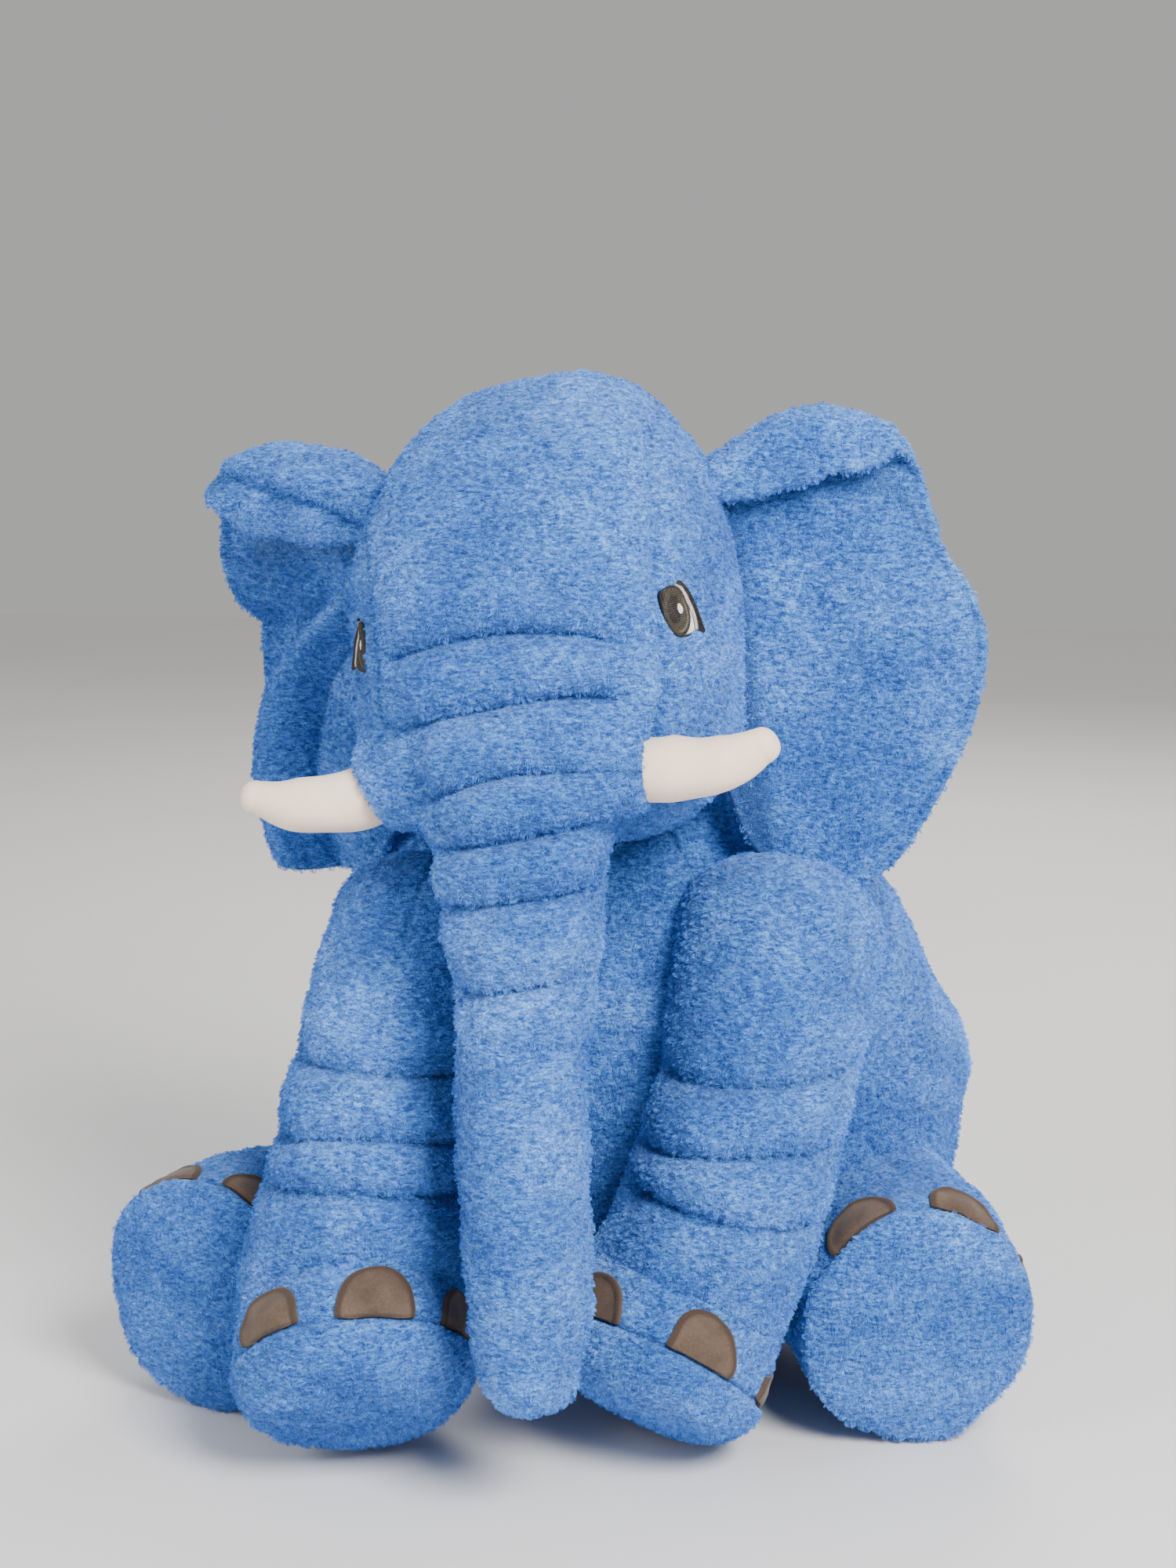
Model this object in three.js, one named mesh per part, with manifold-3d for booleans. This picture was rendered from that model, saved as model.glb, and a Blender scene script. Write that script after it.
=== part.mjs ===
// Sitting stuffed elephant of blue plush, 0.6 m tall, in millimetres, +Z up.
// The elephant faces -Y and its own left side is +X. Every section of the toy is a sewn
// cover of several cut panels round a stuffing body. The origin is at the middle of the
// footprint, on the surface that the toy sits on.
import * as THREE from 'three';
import { mergeVertices } from 'three/addons/utils/BufferGeometryUtils.js';
import Module from 'manifold-3d';

const wasm = await Module();
wasm.setup();

// ---- Driving dimensions ----
const coverThickness = 3; // plush cloth with its pile
const seamGap = 0.35; // between two panels, and between a panel and the stuffing
const jointClearance = 2.5; // round the root of a section that moves

const headCentre = new THREE.Vector3(-5, -48, 461);
const headHalfWidth = 106;
const headHeightUp = 135;
const headHeightDown = 120;
const headFront = 102;
const headBack = 100;
const headLean = 14; // of the crown towards its left
const headTurn = THREE.MathUtils.degToRad(-10); // towards its own right
const headTilt = THREE.MathUtils.degToRad(-7); // its left ear higher

const torsoTop = 405;
const tuskRadius = 18;
const tuskCover = 1.6; // the tusks' cloth is thinner
const tailRadius = 11;
const trunkBendHeight = 222;

const footNails = 3;

// How far each joint swings, in degrees about its axis, for the room that it needs.
const swings = {
  neck: [-14, 0],
  trunkRoot: [-35, 0],
  trunkBend: [-35, 0],
  ear: [0, 28],
  frontLeg: [-40, 0],
  hindLeg: [0, 20],
  tail: [0, 45],
};

const colours = {
  plush: 0x4f86c6,
  tusk: 0xf0e4d6,
  nail: 0x75665a,
  eye: 0x4a4642,
  stuffing: 0xf4f4f0,
};

const xAxis = new THREE.Vector3(1, 0, 0);
const point = (x, y, z) => new THREE.Vector3(x, y, z);
const degrees = THREE.MathUtils.degToRad;

// ---- Skins: the outer surface of a section, as a function of u and v in 0..1 ----
// u runs from pole to pole and v runs once round. at(u, v, depth) is a point that far inside.
// us and vs are the section's grid lines, which its panels and its stuffing share.

function makeSkin(surface, us, vs) {
  const step = 0.004;
  const normalAt = (u, v) => {
    const along = surface(u + step, v).sub(surface(u - step, v));
    const round = surface(u, v + step).sub(surface(u, v - step));
    return along.cross(round).normalize();
  };
  const poleNormal = (u) => {
    const sum = point(0, 0, 0);
    for (let k = 0; k < 8; k += 1) sum.add(normalAt(u, k / 8));
    return sum.normalize();
  };
  const nearPole = 0.02;
  const inward = normalAt(0.5, 0.5).dot(surface(0.5, 0.5).sub(middleOf(surface))) < 0 ? 1 : -1;
  const at = (u, v, depth) => {
    const inside = Math.min(1 - nearPole, Math.max(nearPole, u));
    const isPole = u <= 0 || u >= 1;
    const normal = isPole ? poleNormal(inside) : normalAt(inside, v);
    return surface(u, v).addScaledVector(normal, inward * depth);
  };
  return { at, us, vs };
}

function middleOf(surface) {
  const sum = point(0, 0, 0);
  for (let k = 0; k < 8; k += 1) sum.addScaledVector(surface(0.5, k / 8), 1 / 8);
  return sum;
}

const signedPower = (value, power) => Math.sign(value) * Math.abs(value) ** power;

const rootShare = 0.16;
const endShare = 0.16;
const endSteps = [0.87, 0.9, 0.93, 0.96, 1]; // the first is the sole's seam on a leg

// A limb follows its path with a round root and a flatter end.
// widths and depths are its half sizes across and front to back at even steps of the path.
function limbSkin({
  path, widths, depths, rootLength, endLength, endSquareness = 2, side = xAxis, rows, columns,
}) {
  const curve = new THREE.CatmullRomCurve3(path);
  const sample = (sizes, t) => {
    const place = t * (sizes.length - 1);
    const low = Math.min(sizes.length - 2, Math.floor(place));
    return THREE.MathUtils.lerp(sizes[low], sizes[low + 1], place - low);
  };
  const surface = (u, v) => {
    let t = THREE.MathUtils.clamp((u - rootShare) / (1 - rootShare - endShare), 0, 1);
    let reach = 0;
    let scale = 1;
    if (u < rootShare) {
      const angle = (u / rootShare) * (Math.PI / 2);
      reach = -rootLength * Math.cos(angle);
      scale = Math.sin(angle);
    } else if (u > 1 - endShare) {
      const angle = ((u - 1 + endShare) / endShare) * (Math.PI / 2);
      reach = endLength * signedPower(Math.sin(angle), 2 / endSquareness);
      scale = signedPower(Math.cos(angle), 2 / endSquareness);
      t = 1;
    }
    const tangent = curve.getTangent(t);
    const across = side.clone().addScaledVector(tangent, -side.dot(tangent)).normalize();
    const front = new THREE.Vector3().crossVectors(across, tangent).normalize();
    const turn = v * 2 * Math.PI;
    return curve
      .getPoint(t)
      .addScaledVector(tangent, reach)
      .addScaledVector(across, scale * sample(widths, t) * Math.cos(turn))
      .addScaledVector(front, scale * sample(depths, t) * Math.sin(turn));
  };
  const us = [...steps(0, rootShare, 3), ...steps(rootShare, 1 - endShare, rows).slice(1), ...endSteps];
  return makeSkin(surface, us, steps(0, 1, columns));
}

// ---- Closed bodies ----

// Faces over a grid of points, two triangles to a cell, leaving out the empty ones at a pole.
function closeBody(points, quads) {
  const triangles = [];
  for (const [a, b, c, d] of quads) {
    if (a !== b && b !== c && a !== c) triangles.push(a, b, c);
    if (a !== c && c !== d && a !== d) triangles.push(a, c, d);
  }
  let volume = 0;
  for (let k = 0; k < triangles.length; k += 3) {
    const [a, b, c] = [0, 1, 2].map((n) => points[triangles[k + n]]);
    volume += a.dot(b.clone().cross(c));
  }
  if (volume < 0) triangles.reverse();
  const geometry = new THREE.BufferGeometry().setFromPoints(points);
  geometry.setIndex(triangles);
  return geometry;
}

// Evenly spaced values from one number to another, both ends among them.
const steps = (from, to, count) =>
  Array.from({ length: count + 1 }, (_, k) => THREE.MathUtils.lerp(from, to, k / count));

// The grid lines of a section that lie inside a seam-bounded stretch, with its own two edges.
function stretch(lines, [from, to], inset) {
  const edge = 1e-9;
  const turns = lines.flatMap((line) => [line - 1, line, line + 1]);
  const inner = turns.filter((line) => line > from + edge && line < to - edge);
  return [from + inset, ...new Set(inner), to - inset].sort((a, b) => a - b);
}

// A grid of numbered points. A pole row is one point, and a full turn closes on itself.
function pointGrid(points, place, us, vs, poles) {
  const ring = vs[vs.length - 1] - vs[0] === 1;
  return us.map((u, i) => {
    const isPole = (i === 0 && poles[0]) || (i === us.length - 1 && poles[1]);
    const row = [];
    vs.forEach((v, j) => {
      const closes = (isPole && j > 0) || (ring && j === vs.length - 1);
      if (!closes) points.push(place(u, v));
      row.push(closes ? row[0] : points.length - 1);
    });
    return row;
  });
}

// The body between two layers of points over the same grid, with walls round its open edges.
function layeredBody(top, under, us, vs, poles) {
  const points = [];
  const quads = [];
  const upper = pointGrid(points, top, us, vs, poles);
  const lower = pointGrid(points, under, us, vs, poles);
  const lastU = us.length - 1;
  const lastV = vs.length - 1;
  const ring = vs[lastV] - vs[0] === 1;
  for (let i = 0; i < lastU; i += 1) {
    for (let j = 0; j < lastV; j += 1) {
      quads.push([upper[i][j], upper[i + 1][j], upper[i + 1][j + 1], upper[i][j + 1]]);
      quads.push([lower[i + 1][j + 1], lower[i + 1][j], lower[i][j], lower[i][j + 1]]);
    }
    if (!ring) {
      quads.push([upper[i][0], lower[i][0], lower[i + 1][0], upper[i + 1][0]]);
      quads.push([upper[i][lastV], upper[i + 1][lastV], lower[i + 1][lastV], lower[i][lastV]]);
    }
  }
  for (let j = 0; j < lastV; j += 1) {
    if (!poles[0]) quads.push([upper[0][j], upper[0][j + 1], lower[0][j + 1], lower[0][j]]);
    if (!poles[1]) {
      quads.push([upper[lastU][j], lower[lastU][j], lower[lastU][j + 1], upper[lastU][j + 1]]);
    }
  }
  return closeBody(points, quads);
}

const atPoles = (us) => [us[0] <= 0, us.at(-1) >= 1];

// The cloth between two depths of a skin over a patch of it.
function panel(skin, us, vs, { outer = 0, inner = coverThickness, poles = atPoles(us) } = {}) {
  const layer = (depth) => (u, v) => skin.at(u, v, depth);
  return layeredBody(layer(outer), layer(inner), us, vs, poles);
}

// The whole inside of a skin, that far below it.
function solid(skin, depth, us = skin.us, vs = skin.vs) {
  const points = [];
  const quads = [];
  const grid = pointGrid(points, (u, v) => skin.at(u, v, depth), us, vs, [true, true]);
  for (let i = 0; i < us.length - 1; i += 1) {
    for (let j = 0; j < vs.length - 1; j += 1) {
      quads.push([grid[i][j], grid[i + 1][j], grid[i + 1][j + 1], grid[i][j + 1]]);
    }
  }
  return closeBody(points, quads);
}

const stuffingDepth = coverThickness + seamGap;

// ---- Cutting ----

const weldDistance = 0.02;

const toManifold = (geometry) =>
  new wasm.Manifold(
    new wasm.Mesh({
      numProp: 3,
      vertProperties: new Float32Array(geometry.attributes.position.array),
      triVerts: new Uint32Array(geometry.index.array),
    }),
  );

function fromManifold(body) {
  const mesh = body.getMesh();
  const geometry = new THREE.BufferGeometry();
  geometry.setAttribute('position', new THREE.BufferAttribute(mesh.vertProperties, 3));
  geometry.setIndex(new THREE.BufferAttribute(mesh.triVerts, 1));
  return largestPiece(withoutSlivers(mergeVertices(geometry, weldDistance)));
}

// Faces that lost a corner when close points were joined are left out, with any matching pair.
function withoutSlivers(geometry) {
  const faces = geometry.index.array;
  const kept = new Map();
  for (let k = 0; k < faces.length; k += 3) {
    const corners = [faces[k], faces[k + 1], faces[k + 2]];
    if (new Set(corners).size < 3) continue;
    const key = [...corners].sort((a, b) => a - b).join();
    if (kept.has(key)) kept.delete(key);
    else kept.set(key, corners);
  }
  geometry.setIndex([...kept.values()].flat());
  return geometry;
}

// A cut may leave a loose scrap beside the panel; the panel is the piece with most faces.
function largestPiece(geometry) {
  const faces = geometry.index.array;
  const owner = Array.from({ length: geometry.attributes.position.count }, (_, k) => k);
  const find = (k) => {
    while (owner[k] !== k) k = owner[k];
    return k;
  };
  for (let k = 0; k < faces.length; k += 3) {
    const root = find(faces[k]);
    owner[find(faces[k + 1])] = root;
    owner[find(faces[k + 2])] = root;
  }
  const counts = new Map();
  for (let k = 0; k < faces.length; k += 3) {
    const root = find(faces[k]);
    counts.set(root, (counts.get(root) ?? 0) + 1);
  }
  const [largest] = [...counts].sort((a, b) => b[1] - a[1])[0];
  const kept = [];
  for (let k = 0; k < faces.length; k += 3) {
    if (find(faces[k]) === largest) kept.push(faces[k], faces[k + 1], faces[k + 2]);
  }
  geometry.setIndex(kept);
  return geometry;
}

// A body at both ends of its swing about an axis through a pivot.
function sweep(geometry, pivot, axis, swing) {
  const [first, last] = swing.map((angle) => {
    const copy = geometry.clone();
    copy.translate(-pivot.x, -pivot.y, -pivot.z);
    copy.applyMatrix4(new THREE.Matrix4().makeRotationAxis(axis, degrees(angle)));
    copy.translate(pivot.x, pivot.y, pivot.z);
    return toManifold(copy);
  });
  return first.add(last);
}

const cut = (geometry, cutters) =>
  fromManifold(cutters.reduce((left, cutter) => left.subtract(cutter), toManifold(geometry)));

// ---- Head ----

const headPose = new THREE.Matrix4()
  .makeRotationZ(headTurn)
  .multiply(new THREE.Matrix4().makeRotationY(headTilt))
  .setPosition(headCentre);
const fromHead = (x, y, z) => point(x, y, z).applyMatrix4(headPose);
const headSide = xAxis.clone().transformDirection(headPose);
const headUp = point(0, 0, 1).transformDirection(headPose);

// The poles are the two cheeks; v starts at the crown and comes forward over the face.
const cheek = 0.267; // the seam between the gusset and a side of the head
const chin = [0.35, 0.55]; // the chin panel's two cross seams
const headTurns = steps(0, 1, 20);
const headLines = [
  ...steps(0, cheek, 4),
  ...steps(cheek, 1 - cheek, 4).slice(1),
  ...steps(1 - cheek, 1, 4).slice(1),
];
const headSkin = makeSkin((u, v) => {
  const across = u * Math.PI;
  const round = v * 2 * Math.PI;
  const lowness = 0.5 - 0.5 * Math.cos(round);
  const squareness = 2.15 + 0.9 * lowness;
  const width = headHalfWidth * signedPower(Math.cos(across), 2 / squareness);
  const ring = signedPower(Math.max(0, Math.sin(across)), 2 / squareness);
  const height = Math.cos(round) > 0 ? headHeightUp : headHeightDown;
  const depth = Math.sin(round) > 0 ? headFront : headBack;
  const up = height * signedPower(Math.cos(round), 2 / 2.2);
  const forward = depth * signedPower(Math.sin(round), 2 / 2.2);
  const lean = headLean * Math.max(0, ring * up / headHeightUp) ** 1.5;
  return fromHead(width + lean, -ring * forward, ring * up);
}, headLines, headTurns);

// ---- Trunk ----

const trunkRoot = point(-9, -112, 405);
const trunkBend = point(-6, -156, trunkBendHeight);
const trunkUpperSkin = limbSkin({
  path: [
    trunkRoot, point(-8, -130, 352), point(-6, -143, 300), point(-6, -153, trunkBendHeight + 22),
  ],
  widths: [52, 48, 41, 38],
  depths: [42, 41, 39, 37],
  rootLength: 40,
  endLength: 9,
  endSquareness: 4,
  rows: 5,
  columns: 12,
});
const trunkLowerSkin = limbSkin({
  path: [trunkBend, point(-1, -168, 165), point(3, -182, 115), point(5, -189, 94)],
  widths: [34, 37, 36, 31],
  depths: [32, 34, 33, 29],
  rootLength: 30,
  endLength: 26,
  rows: 5,
  columns: 12,
});

// ---- Legs ----

// Each leg ends in a flat round sole. The four are posed one by one, as a soft toy sits.
// A front leg swings forward and a little outward; a hind leg splays about an upright axis.
// nails is the turn of the middle nail.
const levelAxis = (turn) => point(Math.cos(degrees(turn)), Math.sin(degrees(turn)), 0);
const legs = {
  left_front: {
    path: [
      point(124, -40, 292), point(114, -67, 220), point(98, -84, 150), point(81, -80, 81),
      point(69, -107, 45),
    ],
    nails: 0.825,
    widths: [57, 54, 55, 57, 60],
    depths: [54, 52, 53, 56, 61],
    axis: levelAxis(28),
    swing: swings.frontLeg,
  },
  right_front: {
    path: [
      point(-80, -44, 286), point(-90, -77, 225), point(-93, -103, 158), point(-96, -107, 85),
      point(-97, -142, 53),
    ],
    nails: 0.797,
    widths: [57, 54, 54, 58, 61],
    depths: [54, 52, 53, 57, 61],
    axis: levelAxis(-20),
    swing: swings.frontLeg,
  },
  left_hind: {
    path: [point(152, 70, 88), point(172, 25, 84), point(192, -15, 79), point(203, -56, 73.5)],
    widths: [64, 66, 66, 66],
    depths: [74, 74, 73, 73],
    nails: 0.82,
    axis: point(0, 0, 1),
    swing: swings.hindLeg,
  },
  right_hind: {
    path: [point(-128, 70, 88), point(-161, 25, 84), point(-190, -12, 79), point(-206, -52, 73.5)],
    widths: [64, 66, 66, 66],
    depths: [74, 74, 73, 73],
    nails: 0.68,
    axis: point(0, 0, -1),
    swing: swings.hindLeg,
  },
};
for (const leg of Object.values(legs)) {
  const shape = { ...leg, rootLength: 44, endLength: 12, endSquareness: 4 };
  leg.skin = limbSkin({ ...shape, rows: 5, columns: 12 });
  leg.joint = leg.path[0];
  leg.room = sweep(solid(leg.skin, -jointClearance - 1), leg.joint, leg.axis, leg.swing);
}

// ---- Torso ----

const torsoLevels = {
  centre: [
    point(22, 88, 0), point(22, 86, 100), point(22, 78, 200), point(18, 55, 300),
    point(8, 30, torsoTop),
  ],
  widths: [150, 210, 206, 178, 95],
  depths: [95, 128, 128, 115, 75],
};
const belly = 0.06; // half width of the belly gusset, as a share of a turn
const baseEdge = 0.24; // where the base panel is sewn to the others
const neckEdge = 0.86; // where the panels end, under the head
const torsoLines = {
  u: [0, 0.08, 0.16, ...steps(baseEdge, neckEdge, 8), 0.93, 1],
  v: [0, ...steps(belly, 0.5, 8), ...steps(0.5, 1 - belly, 8).slice(1), 1],
};
const baseFlat = 6; // how far the seat of the torso is pressed flat
const torsoSkin = makeSkin((u, v) => {
  const curve = new THREE.CatmullRomCurve3(torsoLevels.centre);
  const angle = u * Math.PI;
  const height = 0.5 - 0.5 * signedPower(Math.cos(angle), 2 / 2.6);
  const spine = curve.getPoint(height);
  const spread = signedPower(Math.max(0, Math.sin(angle)), 2 / 2.9);
  const place = height * (torsoLevels.widths.length - 1);
  const low = Math.min(torsoLevels.widths.length - 2, Math.floor(place));
  const bulge = (sizes) => THREE.MathUtils.lerp(sizes[low], sizes[low + 1], place - low);
  const turn = v * 2 * Math.PI;
  const round = 2 / 2.2;
  return point(
    spine.x + spread * bulge(torsoLevels.widths) * signedPower(Math.sin(turn), round),
    spine.y - spread * bulge(torsoLevels.depths) * signedPower(Math.cos(turn), round),
    Math.max(0, spine.z - baseFlat),
  );
}, torsoLines.u, torsoLines.v);

// ---- Ears: a flat pillow with a curved outline, hung on the side of the head ----

// Outward and upward from the middle of the sewn edge.
const earOutline = new THREE.CatmullRomCurve3(
  [
    [-14, 66], [25, 92], [66, 101], [94, 88], [108, 42], [130, 0], [137, -45],
    [130, -88], [104, -122], [74, -138], [42, -132], [14, -106], [-12, -72],
  ].map(([out, up]) => point(out, up, 0)),
  true,
);
const earMiddle = point(72, -20, 0);
const earHalfThickness = { middle: 10, rim: 3.6, topRoll: 9 };
const earBack = degrees(18); // swept back from the side of the head
const earAttach = { out: 98, back: 22, up: 0 };

// One face of the ear: shares runs from the middle to the rim, turn runs round it.
function earPoint(side, share, turn, lift) {
  const rim = earOutline.getPoint(turn);
  const flat = earMiddle.clone().lerp(rim, share);
  const cup = 14 * (flat.x / 140) ** 2; // the free edge curls forward a little
  const out = earAttach.out + flat.x * Math.cos(earBack) + (lift + cup) * Math.sin(earBack);
  const back = earAttach.back + flat.x * Math.sin(earBack) - (lift + cup) * Math.cos(earBack);
  return fromHead(side * out, back, earAttach.up + flat.y);
}

function earHalfDepth(share, turn) {
  const crown = Math.sqrt(Math.max(0, 1 - share ** 2));
  const rim = earOutline.getPoint(turn);
  const nearTop = THREE.MathUtils.smoothstep(rim.y, 40, 100) * Math.sin(Math.PI * Math.min(1, share));
  return earHalfThickness.rim + (earHalfThickness.middle - earHalfThickness.rim) * crown
    + earHalfThickness.topRoll * nearTop;
}

// The body between two lifts off the middle plane, out to a share of the outline.
function earLayer(side, upper, lower, reach) {
  const layer = (lift) => (share, turn) => earPoint(side, share, turn, lift(earHalfDepth(share, turn)));
  const shares = [0, 0.45, 0.75, 0.9, 1].filter((share) => share <= reach);
  return layeredBody(layer(upper), layer(lower), shares, steps(0, 1, 18), [true, false]);
}

const earHinge = (side) => fromHead(side * (earAttach.out + 2), earAttach.back, -5);

function earPieces(side) {
  const half = seamGap / 2;
  const [from, to] = swings.ear.map((swing) => side * swing);
  const room = sweep(solid(headSkin, -jointClearance), earHinge(side), headUp, [from, to]);
  const layers = {
    front: earLayer(side, (depth) => depth, (depth) => Math.max(half, depth - coverThickness), 1),
    back: earLayer(side, (depth) => -Math.max(half, depth - coverThickness), (depth) => -depth, 1),
    wadding: earLayer(
      side,
      (depth) => Math.max(0.1, depth - stuffingDepth),
      (depth) => -Math.max(0.1, depth - stuffingDepth),
      0.9,
    ),
  };
  return Object.fromEntries(Object.entries(layers).map(([name, layer]) => [name, cut(layer, [room])]));
}

// ---- Tusks ----

function tuskPieces(side) {
  const path = [[60, -74, -70], [91, -84, -73], [118, -91, -71], [141, -94, -65]];
  const skin = limbSkin({
    path: path.map(([out, back, up]) => fromHead(side * out, back, up)),
    widths: [tuskRadius, tuskRadius, tuskRadius * 0.85, tuskRadius * 0.55],
    depths: [tuskRadius, tuskRadius, tuskRadius * 0.85, tuskRadius * 0.55],
    rootLength: 8,
    endLength: 9,
    side: headUp,
    rows: 4,
    columns: 10,
  });
  const headRoom = toManifold(solid(headSkin, -seamGap));
  const inside = toManifold(solid(skin, tuskCover));
  return {
    cover: cut(solid(skin, 0), [inside, headRoom]),
    stuffing: cut(solid(skin, tuskCover + seamGap), [headRoom]),
  };
}

// ---- Trims on a skin: thin raised patches ----

const trimThickness = 1.4;

// An oval of a skin about (u, v).
const ovalOn = (skin, middle, size) => ({
  at: (share, turn, depth) => {
    const angle = turn * 2 * Math.PI;
    const u = middle[0] + share * size[0] * Math.cos(angle);
    return skin.at(u, middle[1] + share * size[1] * Math.sin(angle), depth);
  },
});

// A half round with its flat edge on the line u = start, reaching back along the limb;
// across runs from -1 to 1.
const halfRoundOn = (skin, start, middle, size) => ({
  at: (height, across, depth) => {
    const halfWidth = Math.sqrt(Math.max(0, 1 - height ** 2));
    return skin.at(start - height * size[0], middle + across * halfWidth * size[1], depth);
  },
});

const trim = { outer: -2 * seamGap - trimThickness, inner: -2 * seamGap };

// ---- Tail ----

const tailRoot = point(22, 217, 96);
const tailSkin = limbSkin({
  path: [tailRoot, point(22, 232, 75), point(22, 240, 50)],
  widths: [tailRadius, tailRadius * 0.9, tailRadius * 0.8],
  depths: [tailRadius, tailRadius * 0.9, tailRadius * 0.8],
  rootLength: tailRadius,
  endLength: 2,
  rows: 3,
  columns: 10,
});
const tuftSkin = limbSkin({
  path: [point(22, 241, 44), point(22, 241, 30), point(22, 240, 16)],
  widths: [8, 13, 9],
  depths: [8, 13, 9],
  rootLength: 3,
  endLength: 6,
  rows: 3,
  columns: 10,
});

// ---- Assembly ----

// A moving section's group stands at its joint and its meshes are placed from there.
function section(parent, joint) {
  const group = new THREE.Group();
  group.userData.joint = joint;
  group.position.copy(joint).sub(parent.userData.joint);
  parent.add(group);
  return group;
}

function addPiece(group, name, geometry, colour) {
  const body = geometry.clone();
  const { joint } = group.userData;
  body.translate(-joint.x, -joint.y, -joint.z);
  body.computeVertexNormals();
  const material = new THREE.MeshStandardMaterial({ color: colour, roughness: 0.9, metalness: 0 });
  const mesh = new THREE.Mesh(body, material);
  mesh.name = name;
  group.add(mesh);
}

const elephant = new THREE.Group();
elephant.userData.joint = point(0, 0, 0);

const neck = fromHead(0, 55, -75);
const headRoom = sweep(solid(headSkin, -jointClearance), neck, headSide, swings.neck);
const legRoom = Object.values(legs).map((leg) => leg.room);
const tailRoom = sweep(solid(tailSkin, -jointClearance), tailRoot, xAxis, swings.tail);
// The ears rest on the shoulders, and rise with the head.
const earRoom = [1, -1].flatMap((side) => {
  const face = (depth) => depth + 2 * jointClearance;
  const ear = earLayer(side, face, (depth) => -face(depth), 1);
  return [
    sweep(ear, neck, headSide, [swings.neck[0] / 2, 0]),
    sweep(ear, earHinge(side), headUp, [0, -side * swings.ear[1] / 4]),
  ];
});
const torsoRoom = [headRoom, ...legRoom, tailRoom, ...earRoom];

// Torso: belly gusset in front, a side panel each side meeting at the back, and a base.
const seam = 0.0006; // half a seam, as a share of a turn
const sides = stretch(torsoLines.u, [baseEdge, neckEdge], 0);
const torsoPanels = {
  belly_gusset: [sides, stretch(torsoLines.v, [-belly, belly], seam)],
  torso_panel_left: [sides, stretch(torsoLines.v, [belly, 0.5], seam)],
  torso_panel_right: [sides, stretch(torsoLines.v, [0.5, 1 - belly], seam)],
  base_panel: [stretch(torsoLines.u, [0, baseEdge], 0).with(-1, baseEdge - 0.002), torsoLines.v],
};
for (const [name, [us, vs]] of Object.entries(torsoPanels)) {
  addPiece(elephant, name, cut(panel(torsoSkin, us, vs), torsoRoom), colours.plush);
}
addPiece(elephant, 'torso_stuffing', cut(solid(torsoSkin, stuffingDepth), torsoRoom), colours.stuffing);

// Head: two bowl-shaped sides, a gusset from face to nape, and a chin.
const head = section(elephant, neck);
const trunkShape = solid(trunkUpperSkin, -jointClearance);
const trunkRootRoom = sweep(trunkShape, trunkRoot, headSide, swings.trunkRoot);
const middleLines = stretch(headSkin.us, [cheek, 1 - cheek], seam);
const headPanels = {
  head_panel_left: [stretch(headSkin.us, [0, cheek], 0).with(-1, cheek - seam), headTurns],
  head_panel_right: [stretch(headSkin.us, [1 - cheek, 1], 0).with(0, 1 - cheek + seam), headTurns],
  head_gusset: [middleLines, stretch(headTurns, [chin[1] - 1, chin[0]], seam)],
  chin_panel: [middleLines, stretch(headTurns, chin, seam)],
};
for (const [name, [us, vs]] of Object.entries(headPanels)) {
  addPiece(head, name, cut(panel(headSkin, us, vs), [trunkRootRoom]), colours.plush);
}
addPiece(head, 'head_stuffing', cut(solid(headSkin, stuffingDepth), [trunkRootRoom]), colours.stuffing);

for (const [name, side, middle] of [['left', 1, 0.205], ['right', -1, 0.795]]) {
  const eye = ovalOn(headSkin, [middle, 0.235], [0.03, 0.024]);
  const iris = panel(eye, steps(0, 1, 2), steps(0, 1, 12), { poles: [true, false], ...trim });
  addPiece(head, `eye_${name}`, iris, colours.eye);
  const tusk = tuskPieces(side);
  addPiece(head, `tusk_${name}_cover`, tusk.cover, colours.tusk);
  addPiece(head, `tusk_${name}_stuffing`, tusk.stuffing, colours.stuffing);
  const ear = section(head, earHinge(side));
  const layers = earPieces(side);
  addPiece(ear, `ear_${name}_front`, layers.front, colours.plush);
  addPiece(ear, `ear_${name}_back`, layers.back, colours.plush);
  addPiece(ear, `ear_${name}_wadding`, layers.wadding, colours.stuffing);
}

// Trunk: each half is a front and a back panel round its stuffing.
const trunkUpper = section(head, trunkRoot);
const trunkLower = section(trunkUpper, trunkBend);
const bendRoom = sweep(solid(trunkLowerSkin, -jointClearance), trunkBend, headSide, swings.trunkBend);
const limbSeam = 0.002;
const limbRoot = 0.04; // the open root of a limb's panels
for (const [name, group, skin, rooms] of [
  ['trunk_upper', trunkUpper, trunkUpperSkin, [bendRoom]],
  ['trunk_lower', trunkLower, trunkLowerSkin, []],
]) {
  const us = stretch(skin.us, [limbRoot, 1 - limbRoot], 0);
  const pieces = {
    front: panel(skin, us, stretch(skin.vs, [0.5, 1], limbSeam)),
    back: panel(skin, us, stretch(skin.vs, [0, 0.5], limbSeam)),
  };
  for (const [side, piece] of Object.entries(pieces)) {
    addPiece(group, `${name}_${side}`, cut(piece, rooms), colours.plush);
  }
  addPiece(group, `${name}_stuffing`, cut(solid(skin, stuffingDepth), rooms), colours.stuffing);
}

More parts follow.
